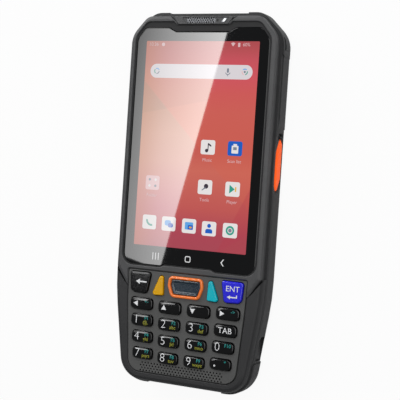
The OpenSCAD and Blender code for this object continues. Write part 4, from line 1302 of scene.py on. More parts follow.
# ---------------------------------------------------------------- keypad
@dataclass(frozen=True)
class Legend:
    """A key's place on the pad, and the prints on it."""

    column: int
    row: int
    main: str
    teal: str = ""
    lime: str = ""


PAD: dict[str, Legend] = {
    "key_left": Legend(0, 0, "<", "+-"), "key_up": Legend(1, 0, "^"), "key_down": Legend(2, 0, "v"),
    "key_right": Legend(3, 0, ">", "->"),
    "key_1": Legend(0, 1, "1", "F1", "@."), "key_2": Legend(1, 1, "2", "F2", "abc"),
    "key_3": Legend(2, 1, "3", "F3", "def"), "key_tab": Legend(3, 1, "TAB"),
    "key_4": Legend(0, 2, "4", "F4", "ghi"), "key_5": Legend(1, 2, "5", "F5", "jkl"),
    "key_6": Legend(2, 2, "6", "F6", "mno"), "key_0": Legend(3, 2, "0", "F10"),
    "key_7": Legend(0, 3, "7", "F7", "pqrs"), "key_8": Legend(1, 3, "8", "F8", "tuv"),
    "key_9": Legend(2, 3, "9", "F9", "wxyz"), "key_point": Legend(3, 3, ".", "*"),
}
# Arrow heads about the middle of their print
ARROWS: dict[str, list[Point]] = {
    "<": [(-1.2, 0), (0.9, 1.15), (0.9, -1.15)], ">": [(1.2, 0), (-0.9, -1.15), (-0.9, 1.15)],
    "^": [(0, 1.15), (1.15, -0.95), (-1.15, -0.95)], "v": [(0, -1.15), (-1.15, 0.95), (1.15, 0.95)],
}


@dataclass
class Keypad:
    """Keypad panel, scan key with its ring, and all keys with their legends."""

    key_w: float = 10.3
    key_h: float = 4.8
    row_pitch: float = 6.97
    first_row: float = 14.2
    col_out: float = 20.0
    panel_t: float = 1.6
    ring_w: float = 1.15
    opening_edge: float = 0.14
    flange_w: float = 0.35
    print_z: float = S.cap_top + 0.5

    def spot(self, column: int, row: int) -> Point:
        """Centre of a pad key; the columns close up towards the foot, and the inner ones hang lower."""
        side = -1 if column < 2 else 1
        inner = column in (1, 2)
        x = side * (self.col_out / 3 - 0.19 * row if inner else self.col_out - 0.62 * row)
        return x, S.seam_y - self.first_row - self.row_pitch * row - (0.5 + 0.1 * row if inner else 0)

    def size(self, row: int) -> Point:
        """Width and height of a cap in a row."""
        return self.key_w - 0.33 * row, self.key_h - 0.13 * row

    def cap_outline(self, column: int, row: int) -> Outline:
        """Outline of a pad key."""
        w, h = self.size(row)
        return block_at(*self.spot(column, row), w, h, 0.31 * h)

    def build(self) -> None:
        """Makes all keypad pieces."""
        self.panel()
        self.ring()
        self.scan_key()
        tree = key_cap_tree()
        for name, legend in PAD.items():
            self.pad_key(tree, name, legend)
        self.top_key("key_back", flipped(S.corner_key()), KEY_BLACK, 0.7, self.back_prints())
        self.top_key("key_enter", S.corner_key(), KEY_BLUE, 0.7, self.enter_prints())
        self.top_key("key_amber", flipped(S.blade_key()), KEY_AMBER, 0.5, [])
        self.top_key("key_teal", S.blade_key(), KEY_TEAL, 0.5, [])

    def panel(self) -> None:
        """The moulded panel with its key openings and sound holes."""
        top, low = S.panel_top, S.panel_top - self.panel_t
        panel = moulding("keypad_moulding", S.panel(), [(S.part_z + 0.02, 0), *quarter(top - 0.3, 0.3, 0.3, 4)])
        keys = [flipped(S.corner_key()), S.corner_key(), flipped(S.blade_key()), S.blade_key()]
        keys += [self.cap_outline(key.column, key.row) for key in PAD.values()]
        openings = [inset(key, -S.key_gap) for key in keys] + [inset(S.ring(), -0.02)]
        combine(panel, [prism(inset(S.panel(), 0.7), S.part_z - 1, low)]
                + [flare(opening, low - 1, top, self.opening_edge) for opening in openings], crossing=True)
        field_of_holes = {"Columns": 27, "Rows": 4, "Pitch": 1.45, "Row Pitch": 1.1, "Radius": 0.37, "Depth": 4.0,
                          "Centre Z": top}
        holes = grown("speaker_holes", perforation_tree(), field_of_holes, BLACK_PLASTIC)
        combine(panel, [shifted(holes, 0, S.panel_y0 + 0.65)])
        complete(panel, PANEL_PLASTIC, 26, "keypad_panel")

    def ring(self) -> None:
        """The orange ring, with a full round crown."""
        top, low = S.cap_top, S.panel_top - self.panel_t
        ring = moulding("ring_moulding", S.ring(), [(low + 0.02, 0), (top - 0.55, 0), (top - 0.3, 0.07),
                                                    (top - 0.12, 0.2), (top - 0.02, 0.42), (top, 0.6)])
        bore = moulding("bore", inset(S.ring(), self.ring_w), [(low - 1, 0), (top - 0.4, 0), (top - 0.15, -0.1),
                                                               (top - 0.02, -0.33), (top + 1, -0.5)])
        complete(combine(ring, [bore]), RING_ORANGE_PAINTED_GLOW, 40, "scan_ring")

    def scan_key(self) -> None:
        """The scan key, with a dished centre."""
        low, top = S.flange_z, S.cap_top
        steps = [(low, -0.3), (low + 0.55, -0.3), (low + 0.56, 0), (top - 0.75, 0), (top - 0.58, 0.08),
                 (top - 0.5, 0.3), (top - 0.5, 0.5), (top - 0.58, 0.8), (top - 0.78, 1.05), (top - 0.88, 1.35)]
        key = moulding("scan_cap", inset(S.ring(), self.ring_w + S.key_gap), steps)
        complete(key, KEY_SCAN, 40, "key_scan", "key_scan")

    def flange(self, outline: Outline) -> Piece:
        """The flange that keeps a key under the panel."""
        return prism(inset(outline, -self.flange_w), S.flange_z, S.flange_top)

    def finish_key(self, name: str, cap: Piece, flange: Piece, finish: Finish, prints: list[Piece]) -> None:
        """Lays the prints on a cap, and hands over the cap on its flange, and the prints.

        Args:
            name: the key's node and body.
            cap: the cap, already dressed.
            flange: its flange.
            finish: the finish of both.
            prints: flat prints above the cap.
        """
        for piece in prints:
            drape(piece, cap)
        complete(join(f"{name}_piece", [cap, dress(flange, finish)]), finish, 50, name, name)
        if prints:
            seat(join(f"{name}_legend", prints), name)

    def pad_key(self, tree: NodeTree, name: str, legend: Legend) -> None:
        """One crowned cap on its flange, with its legend."""
        (x, y), (w, h) = self.spot(legend.column, legend.row), self.size(legend.row)
        cap = grown(f"{name}_cap", tree, {"Width": w, "Height": h, "Base": S.flange_top - 0.02,
                                          "Shoulder": S.cap_top - 0.62, "Top": S.cap_top, "Squareness": 3.8,
                                          "Crown": 5.0}, KEY_BLACK)
        # Shaded once more on its own, which keeps the edge under its crown soft
        shade(shifted(cap, x, y), 50)
        flange = self.flange(self.cap_outline(legend.column, legend.row))
        self.finish_key(name, cap, flange, KEY_BLACK, self.prints(x, y, w, h, legend))

    def prints(self, x: float, y: float, w: float, h: float, legend: Legend) -> list[Piece]:
        """The prints of one pad key, above it."""
        z, left = self.print_z, x - w * 0.24
        if legend.main in ARROWS:
            points = [(left + px, y + py) for px, py in ARROWS[legend.main]]
            result = [plate("arrow", points, z, LEGEND_WHITE)]
        elif legend.main == "TAB":
            result = [lettering("word", "TAB", 3.4, x, y, z, LEGEND_WHITE)]
        elif legend.main == ".":
            result = [plate("point", circle(x - w * 0.26, y - 0.7, 0.42, count=18), z, LEGEND_WHITE)]
        else:
            result = [lettering("digit", legend.main, 5.1, left, y + 0.05, z, LEGEND_WHITE, -0.09)]
        if legend.teal:
            result.append(lettering("teal", legend.teal, 2.0, x + w * 0.24, y + h * 0.2, z, LEGEND_TEAL, 0.03))
        if legend.lime:
            result.append(lettering("lime", legend.lime, 2.1, x + w * 0.2, y - h * 0.2, z, LEGEND_LIME, 0.03))
        return result

    def top_key(self, name: str, outline: Outline, finish: Finish, edge: float, prints: list[Piece]) -> None:
        """One of the four shaped keys of the top row, with a soft shoulder."""
        foot = S.cap_top - 0.6
        cap = moulding(f"{name}_cap", outline, [(S.flange_top - 0.2, 0), (foot, 0), *quarter(foot, 0.52, edge, 5, 1)])
        flange = combine(self.flange(outline), [prism(inset(S.panel(), 0.95), S.flange_z - 1, 17)], Mode.KEEP)
        self.finish_key(name, dress(cap, finish), flange, finish, prints)

    def flat_print(self, x0: float, x1: float, y0: float, y1: float) -> Piece:
        """A plain rectangular print."""
        return plate("bar", square(x0, x1, y0, y1), self.print_z, LEGEND_WHITE)

    def back_prints(self) -> list[Piece]:
        """The arrow of the back key."""
        x, y = -20.6, S.seam_y - 4.9
        head = [(x - 2.5, y), (x - 0.7, y + 1.15), (x - 0.7, y - 1.15)]
        return [plate("head", head, self.print_z, LEGEND_WHITE), self.flat_print(x - 0.9, x + 2.5, y - 0.3, y + 0.3)]

    def enter_prints(self) -> list[Piece]:
        """The word and the bent arrow of the enter key."""
        x, y = 21.6, S.seam_y - 3.9
        head = [(x - 2.3, y - 3.3), (x - 0.9, y - 2.5), (x - 0.9, y - 4.1)]
        return [lettering("word", "ENT", 3.3, x, y, self.print_z, LEGEND_WHITE),
                plate("head", head, self.print_z, LEGEND_WHITE),
                self.flat_print(x - 1.0, x + 2.2, y - 3.55, y - 3.05),
                self.flat_print(x + 1.7, x + 2.2, y - 3.1, y - 2.3)]


# ---------------------------------------------------------------- rubber
# Marks about the middle of a side key, in the plane of Y and Z: a ring with a bar, and a plus and a minus
POWER_MARKS = (band(0, 0, 0.55, 0.8, 110, 430), square(0.3, 1.0, -0.12, 0.12))
ROCKER_MARKS = (square(3.2, 4.6, -0.13, 0.13), square(3.77, 4.03, -0.7, 0.7), square(-4.03, -3.77, -0.7, 0.7))


@dataclass
class Sides:
    """Side rubber with its bumpers, triggers, side keys, port flap and scan window."""

    proud: float = 0.45
    rail_proud: float = 0.28
    scoop_depth: float = 0.7
    scoop_l: float = 30.0
    slide_gap: float = 0.3
    trigger_half: float = 10.65
    power_l: float = 7.0
    rocker_l: float = 13.0
    key_out: float = S.hw + 0.4
    plate_x: float = S.hw - 1.6
    pin_y: float = -76.65
    pin_z: float = 5.0
    notch_y: float = -53.85

    def build(self) -> None:
        """Makes all side pieces."""
        self.rubber()
        self.triggers()
        self.side_key("power_key", S.power_y, self.power_l, (0.0,), 0.0, POWER_MARKS)
        self.side_key("volume_rocker", S.rocker_y, self.rocker_l, (-S.rocker_arm, S.rocker_arm), 0.3, ROCKER_MARKS)
        self.flap()
        self.window()

    def walls(self, name: str, proud: float = 0.0) -> Piece:
        """The solid inside the side walls, or one that stands proud of them."""
        levels = [(1, S.rubber_t), (3.4, 1.2), (6.4, 0.2), (8, 0), (S.part_z - 1.2, 0), (S.part_z, 0.3)]
        return moulding(name, inset(S.body(), -proud), smooth_steps(levels))

    def trigger_outline(self) -> Outline:
        """Outline of a side trigger in the plane of Y and Z."""
        y, front, rear = self.trigger_half, 2.3, -3.5
        return moved([(-y + 1.6, front, 1.4), (y - 5.5, front, 3), (y, -0.3, 1.2), (y, -1.4, 1.2), (y - 2, rear, 2),
                      (-y + 5, rear, 3), (-y, -0.6, 1.2), (-y, 1.0, 1.2)], S.trigger_y, S.trigger_z)

    def side_outline(self, y: float, length: float) -> Outline:
        """Outline of a side key in the plane of Y and Z."""
        return block_at(y, S.side_key_z, length, 3.6, 1.4)

    def flap_outline(self) -> Outline:
        """Outline of the port flap in the plane of X and Z."""
        return box(-8, 8, self.pin_z, 12.4, 1.2)

    def tip_groove(self) -> Outline:
        """The dark groove beside a pointed tip of the front bezel."""
        (x0, y0, _), (x1, y1, _) = S.bezel()[2:4]
        ax, ay = unit(y0 - y1, x1 - x0)
        return [(x0 - 0.2 * ax, y0 - 0.2 * ay, 0.1), (x0 + ax, y0 + ay, 0.3),
                (x1 + 0.8 + 0.4 * ax, y1 + 1.2 + 0.4 * ay, 0.1), (x1 + 0.6 - 0.2 * ax, y1 + 1.2 - 0.2 * ay, 0.1)]

    def bumpers(self) -> Piece:
        """Corner bumpers and side rails, a little proud of the wall."""
        x, hl, hw, top = S.hw - 16.2, S.hl, S.hw, S.part_z
        foot = S.trigger_y + self.trigger_half + 3.95
        ramp = [(hw - 6, hl, 0.1), (hw + 1, hl, 0.1), (hw + 1, foot + 12, 0.1), (hw - 0.1, foot - 0.5, 0.1),
                (hw - 6, foot - 0.5, 0.1)]
        blocks, rails = [], []
        for side, slope in zip(BOTH_SIDES, mirror_pair(ramp)):
            for inner, y0, y1 in ((x, hl - 17.6, hl + 2), (x - 1, -hl - 2, -hl + 13.5)):
                blocks.append(prism(box(y0, y1, 1.6, top - 0.5, 1.2), side * inner, side * (hw + 2), Plane.YZ))
            rail = prism(box(foot, hl - 17, 4, top - 1.2, 1.0), side * (hw - 5), side * (hw + 2), Plane.YZ)
            rails.append(combine(rail, [prism(slope, 0, top)], Mode.KEEP))
        return join("bumpers", [combine(self.walls("bumper_form", self.proud), blocks, Mode.KEEP),
                                combine(self.walls("rail_form", self.rail_proud), rails, Mode.KEEP)])

    def rubber(self) -> None:
        """The overmoulded side rubber."""
        hl, hw, top = S.hl, S.hw, S.rim_z
        levels = [(S.part_z - 0.4, 0.35), (S.part_z + 1.7, 0.6), (S.panel_top - 0.9, 1.05), (S.panel_top - 0.4, 1.6),
                  (S.panel_top - 0.1, 2.6)]
        lip = moulding("lip", S.body(), smooth_steps(levels))
        combine(lip, [cuboid(-hw, hw, -hl - 1, S.seam_y + 0.95, S.part_z - 1, top)], Mode.KEEP)
        body = combine(self.walls("side_moulding"), [self.bumpers()], Mode.ADD, True)
        combine(body, [lip], Mode.ADD)
        cutters = [prism(S.core(), -1, S.part_z + 0.02), flare(inset(S.panel(), -S.fit_gap), 0, top - 0.7, 0.25),
                   prism(inset(S.bezel(), -S.fit_gap), S.part_z, top)]
        cutters += [prism(groove, S.part_z + 0.8, top) for groove in mirror_pair(self.tip_groove())]
        radius = (self.scoop_l**2 / 4 + self.scoop_depth**2) / (2 * self.scoop_depth)
        for side in BOTH_SIDES:
            x = side * (hw - self.scoop_depth + radius)
            cutters.append(turned("scoop", x, S.trigger_y, [(2.5, radius), (top, radius)], 180))
        for tools in (cutters, self.side_openings(), self.end_openings()):
            combine(body, tools, crossing=True)
        complete(body, RUBBER_DARK, 20, "side_rubber")

    def pocket(self, outline: Outline, side: int, face: float) -> list[Piece]:
        """Cutters for an opening with a chamfered mouth, and for the room of the plate behind it."""
        x = S.hw - S.rubber_t
        return [flare(inset(outline, -self.slide_gap), side * (x - 1), side * face, 0.3, Plane.YZ),
                prism(inset(outline, -1.0), side * (x - 0.01), side * (self.plate_x + 0.2), Plane.YZ)]

    def side_openings(self) -> list[Piece]:
        """Cutters for the triggers, side keys, notches and bumper slots."""
        hw, y, top = S.hw, S.trigger_y + 10.4, S.part_z
        notch = moved([(-10, 4.2, 0.8), (-1.2, 4.2, 0.8), (0, 2, 0.8), (0, -2.6, 0.8), (-1.2, -4.2, 0.8),
                       (-10, -4.2, 0.8)], self.notch_y, 8)
        slot = box(S.hl - 15.1, S.hl - 9.6, top - 2.9, top - 1.5, 0.3)
        cutters: list[Piece] = []
        for side in BOTH_SIDES:
            cutters += self.pocket(self.trigger_outline(), side, hw - self.scoop_depth + 0.05)
            cutters += [flare(box(y, y + 2.3, 6.9, 11.4, 0.8), side * (hw - 1.25), side * (hw - 0.3), 0.3, Plane.YZ),
                        flare(notch, side * (hw - 2.2 - 5.7 * 0.45), side * (hw - 1.9), 0.35, Plane.YZ, 4.0),
                        prism(slot, side * (hw - 0.9), side * (hw + 2), Plane.YZ)]
        for middle, length in ((S.power_y, self.power_l), (S.rocker_y, self.rocker_l)):
            cutters += self.pocket(self.side_outline(middle, length), -1, hw)
        recess = self.side_outline((S.power_y + S.rocker_y) / 2, S.power_y - S.rocker_y + 10)
        return cutters + [flare(inset(recess, -1.3), -hw, -hw - 0.3, 0.25, Plane.YZ)]

    def end_openings(self) -> list[Piece]:
        """Cutters for the scan window, the port, its flap and hinge."""
        hl, y, z, window = S.hl, self.pin_y, self.pin_z, S.window()
        return [prism(inset(window, 0.9), hl - 4, hl + 2, Plane.XZ),
                flare(inset(window, -S.fit_gap), hl - 2.2, hl, 0.3, Plane.XZ),
                prism(inset(S.port(), -S.fit_gap), -hl - 2, -hl + 4, Plane.XZ),
                prism(inset(self.flap_outline(), -0.2), -hl - 2, y, Plane.XZ),
                cuboid(-8.2, 8.2, -hl - 2, y + 0.15, z - 1.9, z),
                side_rod(y, z, -8.2, 8.2, 1.3), side_rod(y, z, -9.8, 9.8, 0.5)]

    def pressed_bar(self, name: str, outline: Outline, out: float, plungers: list[Point], r: float,
                    back: float = 0.0) -> Piece:
        """A crowned bar in a side wall, on its plate and plungers.

        Args:
            name: the object's name.
            outline: in the plane of Y and Z.
            out: X of its outermost face.
            plungers: (y, z) of the round plungers behind it.
            r: their radius.
            back: how much deeper its plate sits.

        Returns:
            The joined bar, on the right side.
        """
        x, shoulder = self.plate_x - back, out - 0.75
        steps = [(x - 0.1, 0), (shoulder, 0), *quarter(shoulder, 0.68, 1.1, 5, 1), (out - 0.02, 1.5)]
        parts = [moulding("bar", outline, steps, Plane.YZ, out), prism(inset(outline, -0.7), x - 0.55, x, Plane.YZ)]
        parts += [side_rod(y, z, S.hw - S.rubber_t - 2.3, x - 0.5, r) for y, z in plungers]
        return join(name, parts)

    def triggers(self) -> None:
        """Both orange triggers, each a crowned bar with a plate and plunger."""
        plungers = [(S.trigger_y, S.trigger_z)]
        right = self.pressed_bar("trigger_right_bar", self.trigger_outline(), S.hw - 0.3, plungers, 1.0)
        left = mirrored(right, "trigger_left_bar")
        complete(right, ORANGE_PLASTIC_PAINTED_GLOW, 40, "trigger_right", "trigger_right")
        complete(left, ORANGE_PLASTIC_PAINTED_GLOW, 40, "trigger_left", "trigger_left")

    def side_key(self, body: str, y: float, length: float, arms: tuple[float, ...], back: float,
                 marks: tuple[list[Point], ...]) -> None:
        """A key in the left wall, with its small white prints.

        Args:
            body: the key's node and body.
            y: its middle.
            length: its length.
            arms: how far from its middle each plunger stands.
            back: how much deeper its plate sits.
            marks: its prints, about its middle.
        """
        z = S.side_key_z
        bar = self.pressed_bar("bar", self.side_outline(y, length), self.key_out, [(y + arm, z) for arm in arms],
                               0.75, back)
        key = mirrored(bar, f"{body}_piece")
        discard(bar)
        complete(key, SIDE_KEY, 40, body, body)
        bm = bmesh.new()
        for mark in marks:
            spots = [Plane.YZ.place(y + py, z + pz, -self.key_out - 0.01) for py, pz in reversed(mark)]
            bm.faces.new([bm.verts.new(spot) for spot in spots])
        bm.normal_update()
        for face in bm.faces:
            if face.normal.x > 0:
                face.normal_flip()
        seat(dress(new_object(f"{body}_marks", bm), LEGEND_WHITE), body)

    def flap(self) -> None:
        """The rubber flap over the port, with its knuckle, plug and finger lip."""
        face, y, z = -S.hl, self.pin_y, self.pin_z
        steps = [(face + 1.6, 0), (face + 0.45, 0), (face + 0.15, 0.1), (face + 0.05, 0.35)]
        leaf = moulding("port_flap_leaf", self.flap_outline(), steps, Plane.XZ)
        combine(leaf, [self.walls("form")], Mode.KEEP)
        combine(leaf, [side_rod(y, z, -8, 8, 0.9)], Mode.ADD)
        combine(leaf, [prism(inset(S.port(), 0.75), face + 1.59, face + 2.5, Plane.XZ)], Mode.ADD)
        combine(leaf, [side_rod(y, z, -9, 9, 0.5),
                       prism(box(-3.5, 3.5, 11.1, 11.7, 0.25), face - 0.5, face + 0.35, Plane.XZ)], crossing=True)
        complete(leaf, RUBBER_DARK, 30, "port_flap", "port_flap")

    def window(self) -> None:
        """The red scan window."""
        y = S.hl - 1
        steps = [(y - 1.2, 0), (y - 0.2, 0), (y - 0.05, 0.08), (y, 0.25)]
        complete(moulding("window_pane", S.window(), steps, Plane.XZ), WINDOW_RED, 30, "scan_window")


# ---------------------------------------------------------------- rear
@dataclass
class Rear:
    """Rear housing, battery cover with its locks, camera, flash, screws and contacts."""

    bay_w: float = 24.5
    bay_y1: float = 21.0
    bay_y0: float = -59.4
    roof_z: float = 9.5
    roof_t: float = 1.3
    cover_t: float = 1.5
    hook_x: float = 15.0
    lock_x: float = 17.0
    lock_y: float = -63.0
    rib_y: float = -56.8
    camera: Point = (-18.5, 58.4)
    flash: Point = (-18.5, 48.4)
    contacts_x: tuple[float, ...] = (-6, -2, 2, 6)
    contact_y: float = -70.2
    screws: tuple[Point, ...] = ((29.5, 59.9), (29.5, -24.85), (22.7, -70.2))
    screw_tops: tuple[float, ...] = (16.0, 16.0, 15.7)

    def cover_outline(self) -> Outline:
        """Outline of the battery cover."""
        return both([(27.5, 23.7, 1.5), (27.5, -44.4, 20), (23, -66.4, 5)])

    def build(self) -> None:
        """Makes all rear pieces."""
        self.housing()
        self.cover()
        self.locks()
        self.screw_set()
        self.contacts()
        self.optics()

    def housing(self) -> None:
        """The rear shell with its battery bay."""
        core, w = S.core(), self.bay_w + 1.7
        steps = [(0.02, 0.5), (0.12, 0.27), (0.32, 0.1), (0.6, 0.02), (1.0, 0), (S.part_z, 0)]
        shell = combine(moulding("rear_shell", core, steps), [prism(inset(core, S.wall), S.wall, S.part_z + 1)])
        adds = [cuboid(-w, w, self.bay_y0 - 1.7, self.bay_y1 + 1.7, S.wall - 0.01, self.roof_z + self.roof_t, 1.0),
                prism(inset(self.cover_outline(), -1.75), 0.3, self.cover_t + 1.7)]
        for side in BOTH_SIDES:
            adds += [rod(side * x, y, 0.2, 12.9 if y < S.seam_y else S.part_z, 2.1) for x, y in self.screws]
            adds.append(rod(side * self.lock_x, self.lock_y, 0.2, 6.2, 3.2))
        combine(shell, adds, Mode.ADD, True)
        for tools in (self.bay_cutters(), self.small_cutters()):
            combine(shell, tools, crossing=True)
        complete(shell, HOUSING_PLASTIC, 28, "rear_housing")

    def bay_cutters(self) -> list[Piece]:
        """Cutters for the bay, the cover's seat, its hooks and locks, and the terminals."""
        w, y0, y1 = self.bay_w, self.bay_y0, self.bay_y1
        cutters = [cuboid(-w, w, y0, y1, -1, self.roof_z, 0.8),
                   flare(inset(self.cover_outline(), -0.25), S.wall + 0.06, 0.0, 0.2),
                   cuboid(-w - 1, w + 1, y0 + 3, y1 - 1, -1, self.cover_t + 0.2, 0.5),
                   cuboid(-20.2, -7.8, y1 - 1, y1 + 1.2, 3.8, 8.2)]
        for side in BOTH_SIDES:
            hook, lock = side * self.hook_x, (side * self.lock_x, self.lock_y)
            cutters += [cuboid(hook - 2.9, hook + 2.9, y1 - 0.5, 26.0, S.wall + 0.05, 3.9),
                        rod(*lock, 0, 5.3, 1.8), rod(*lock, -0.5, self.cover_t + 0.95, 2.9)]
        return cutters

    def small_cutters(self) -> list[Piece]:
        """Cutters for camera, flash, contacts, screws, plungers, scan window and port."""
        cutters = [rod(*self.camera, 0.0, 1.3, 4.7, 0.3, 64), rod(*self.camera, -1, S.wall + 1, 3.5),
                   rod(*self.camera, -1, 0.01, 5.0, count=64), rod(*self.flash, -0.05, S.wall + 1, 2.3, 0.25)]
        cutters += [flare(block_at(x, self.contact_y, 2.0, 3.4, 0.5), S.wall + 1, 0.0, 0.2) for x in self.contacts_x]
        for side in BOTH_SIDES:
            for x, y in self.screws:
                cutters += [rod(side * x, y, 1.0, S.part_z + 1, 0.9, count=24),
                            rod(side * x, y, -0.05, 1.9, 1.5, 0.3, 32)]
            cutters.append(side_rod(S.trigger_y, S.trigger_z, side * 28, side * S.hw, 1.35))
        for y in (S.power_y, S.rocker_y - S.rocker_arm, S.rocker_y + S.rocker_arm):
            cutters.append(side_rod(y, S.side_key_z, -28, -S.hw, 1.1))
        return cutters + [prism(inset(S.window(), 1.4), 73.5, S.hl, Plane.XZ),
                          prism(inset(S.port(), -S.fit_gap), -S.hl, -S.hl + 6.6, Plane.XZ)]

    def cover(self) -> None:
        """The battery cover with its grip ribs and hooks."""
        steps = [(0.02, 0.4), (0.1, 0.2), (0.22, 0.07), (0.4, 0), (self.cover_t, 0)]
        cover = moulding("battery_door", self.cover_outline(), steps)
        hooks = []
        for side in BOTH_SIDES:
            x0, x1 = side * self.hook_x - 2.5, side * self.hook_x + 2.5
            hooks += [cuboid(x0, x1, self.bay_y1 - 0.1, 23.4, self.cover_t - 0.1, 2.7),
                      cuboid(x0, x1, 23.3, 25.4, 1.95, 2.7)]
        combine(cover, hooks, Mode.ADD, True)
        ribs = grown("rib_cutters", rib_tree(), {"Count": 6, "Pitch": 2.6, "Length": 28.0, "Radius": 0.6},
                     BLACK_PLASTIC)
        combine(cover, [shifted(ribs, 0, self.rib_y, -0.25)])
        for side in BOTH_SIDES:
            lock = (side * self.lock_x, self.lock_y)
            combine(cover, [rod(*lock, -0.01, 0.85, 2.7, 0.2), rod(*lock, -1, self.cover_t + 1, 1.35)], crossing=True)
        complete(cover, HOUSING_PLASTIC, 28, "battery_cover", "battery_cover")

    def locks(self) -> None:
        """The two quarter-turn locks with their coin slots."""
        x, y = self.lock_x, self.lock_y
        right = turned("cover_lock_right_piece", x, y, [(0.1, 2.3), (0.3, 2.5), (0.79, 2.5), (0.8, 1.3), (1.55, 1.3),
                                                        (1.56, 2.1), (2.1, 2.1), (2.11, 1.3), (5.0, 1.3)])
        combine(right, [loft("coin_slot", [(0.5, slab(x - 2, x + 2, y - 0.35, y + 0.35, 0.3)),
                                           (0.0, slab(x - 2.1, x + 2.1, y - 0.5, y + 0.5, 0.3))])])
        left = mirrored(right, "cover_lock_left_piece")
        complete(right, STEEL, 30, "cover_lock_right", "cover_lock_right")
        complete(left, STEEL, 30, "cover_lock_left", "cover_lock_left")

    def screw_set(self) -> None:
        """Six hex screws by rule, on their shanks."""
        bm = bmesh.new()
        shanks = []
        for side in BOTH_SIDES:
            for (x, y), top in zip(self.screws, self.screw_tops):
                bm.verts.new(Plane.XY.place(side * x, y, 0.6))
                shanks.append(rod(side * x, y, 1.8, top, 0.7, count=24))
        heads = grown("screw_heads", screw_tree(), {"Head Radius": 1.35, "Head Height": 1.3, "Recess Radius": 0.75,
                                                    "Recess Depth": 0.55}, STEEL, new_object("screw_heads", bm))
        complete(join("housing_screw_set", [heads, *shanks]), STEEL, 30, "housing_screws")

    def contacts(self) -> None:
        """The four gold cradle contacts."""
        steps = [(0.1, 0.25), (0.16, 0.08), (0.3, 0), (S.wall + 0.3, 0)]
        pads = [moulding("pad", block_at(x, self.contact_y, 1.7, 3.1, 0.45), steps) for x in self.contacts_x]
        complete(join("cradle_contact_set", pads), GOLD_CONTACT, 30, "cradle_contacts")

    def optics(self) -> None:
        """The camera's window with its trim ring, and the flash lens with fine rings."""
        pane = turned("camera_pane", *self.camera, [(0.2, 4.3), (0.24, 4.45), (0.35, 4.6), (1.2, 4.6)], 64)
        complete(pane, LENS_GLASS, 30, "camera_window")
        trim = turned("camera_trim", *self.camera, [(0.17, 2.3), (0.19, 2.4), (0.21, 2.4)], 64)
        complete(combine(trim, [rod(*self.camera, 0.1, 0.3, 1.9, count=64)]), SHEET_METAL, 30)
        rings = [(0.26 if k % 2 else 0.2, 0.3 + 0.25 * k) for k in range(7)]
        lens = turned("flash_pane", *self.flash, rings + [(0.3, 2.2), (2.2, 2.2)])
        complete(lens, FLASH_DIFFUSER, 20, "flash_lens")


# ---------------------------------------------------------------- stage
WHITE = (1.0, 1.0, 1.0, 1.0)


@dataclass(frozen=True)
class Lamp:
    """A square area lamp: where it hangs and what it points at in metres, its side and its power in watts."""

    name: str
    at: Place
    to: Place
    size: float
    power: float

    def build(self) -> None:
        """Hangs the lamp."""
        data = bpy.data.lights.new(self.name, "AREA")
        data.size, data.energy = self.size, self.power
        lamp = bpy.data.objects.new(self.name, data)
        turn = (Vector(self.to) - Vector(self.at)).to_track_quat("-Z", "Y").to_matrix().to_4x4()
        lamp.matrix_world = Matrix.Translation(self.at) @ turn
        bpy.context.scene.collection.objects.link(lamp)


LAMPS = (
    Lamp("top_softbox", (0.35, 0.15, 0.9), (0.0, 0.0, 0.0), 0.8, 3.9),
    Lamp("left_softbox", (-0.62, 0.58, 0.36), (0.0, 0.02, 0.01), 0.5, 4.7),
    Lamp("head_softbox", (0.05, 0.85, 0.4), (0.0, 0.05, 0.01), 0.35, 1.6),
    Lamp("right_softbox", (0.62, 0.5, 0.3), (0.0, 0.0, 0.01), 0.4, 0.9),
)


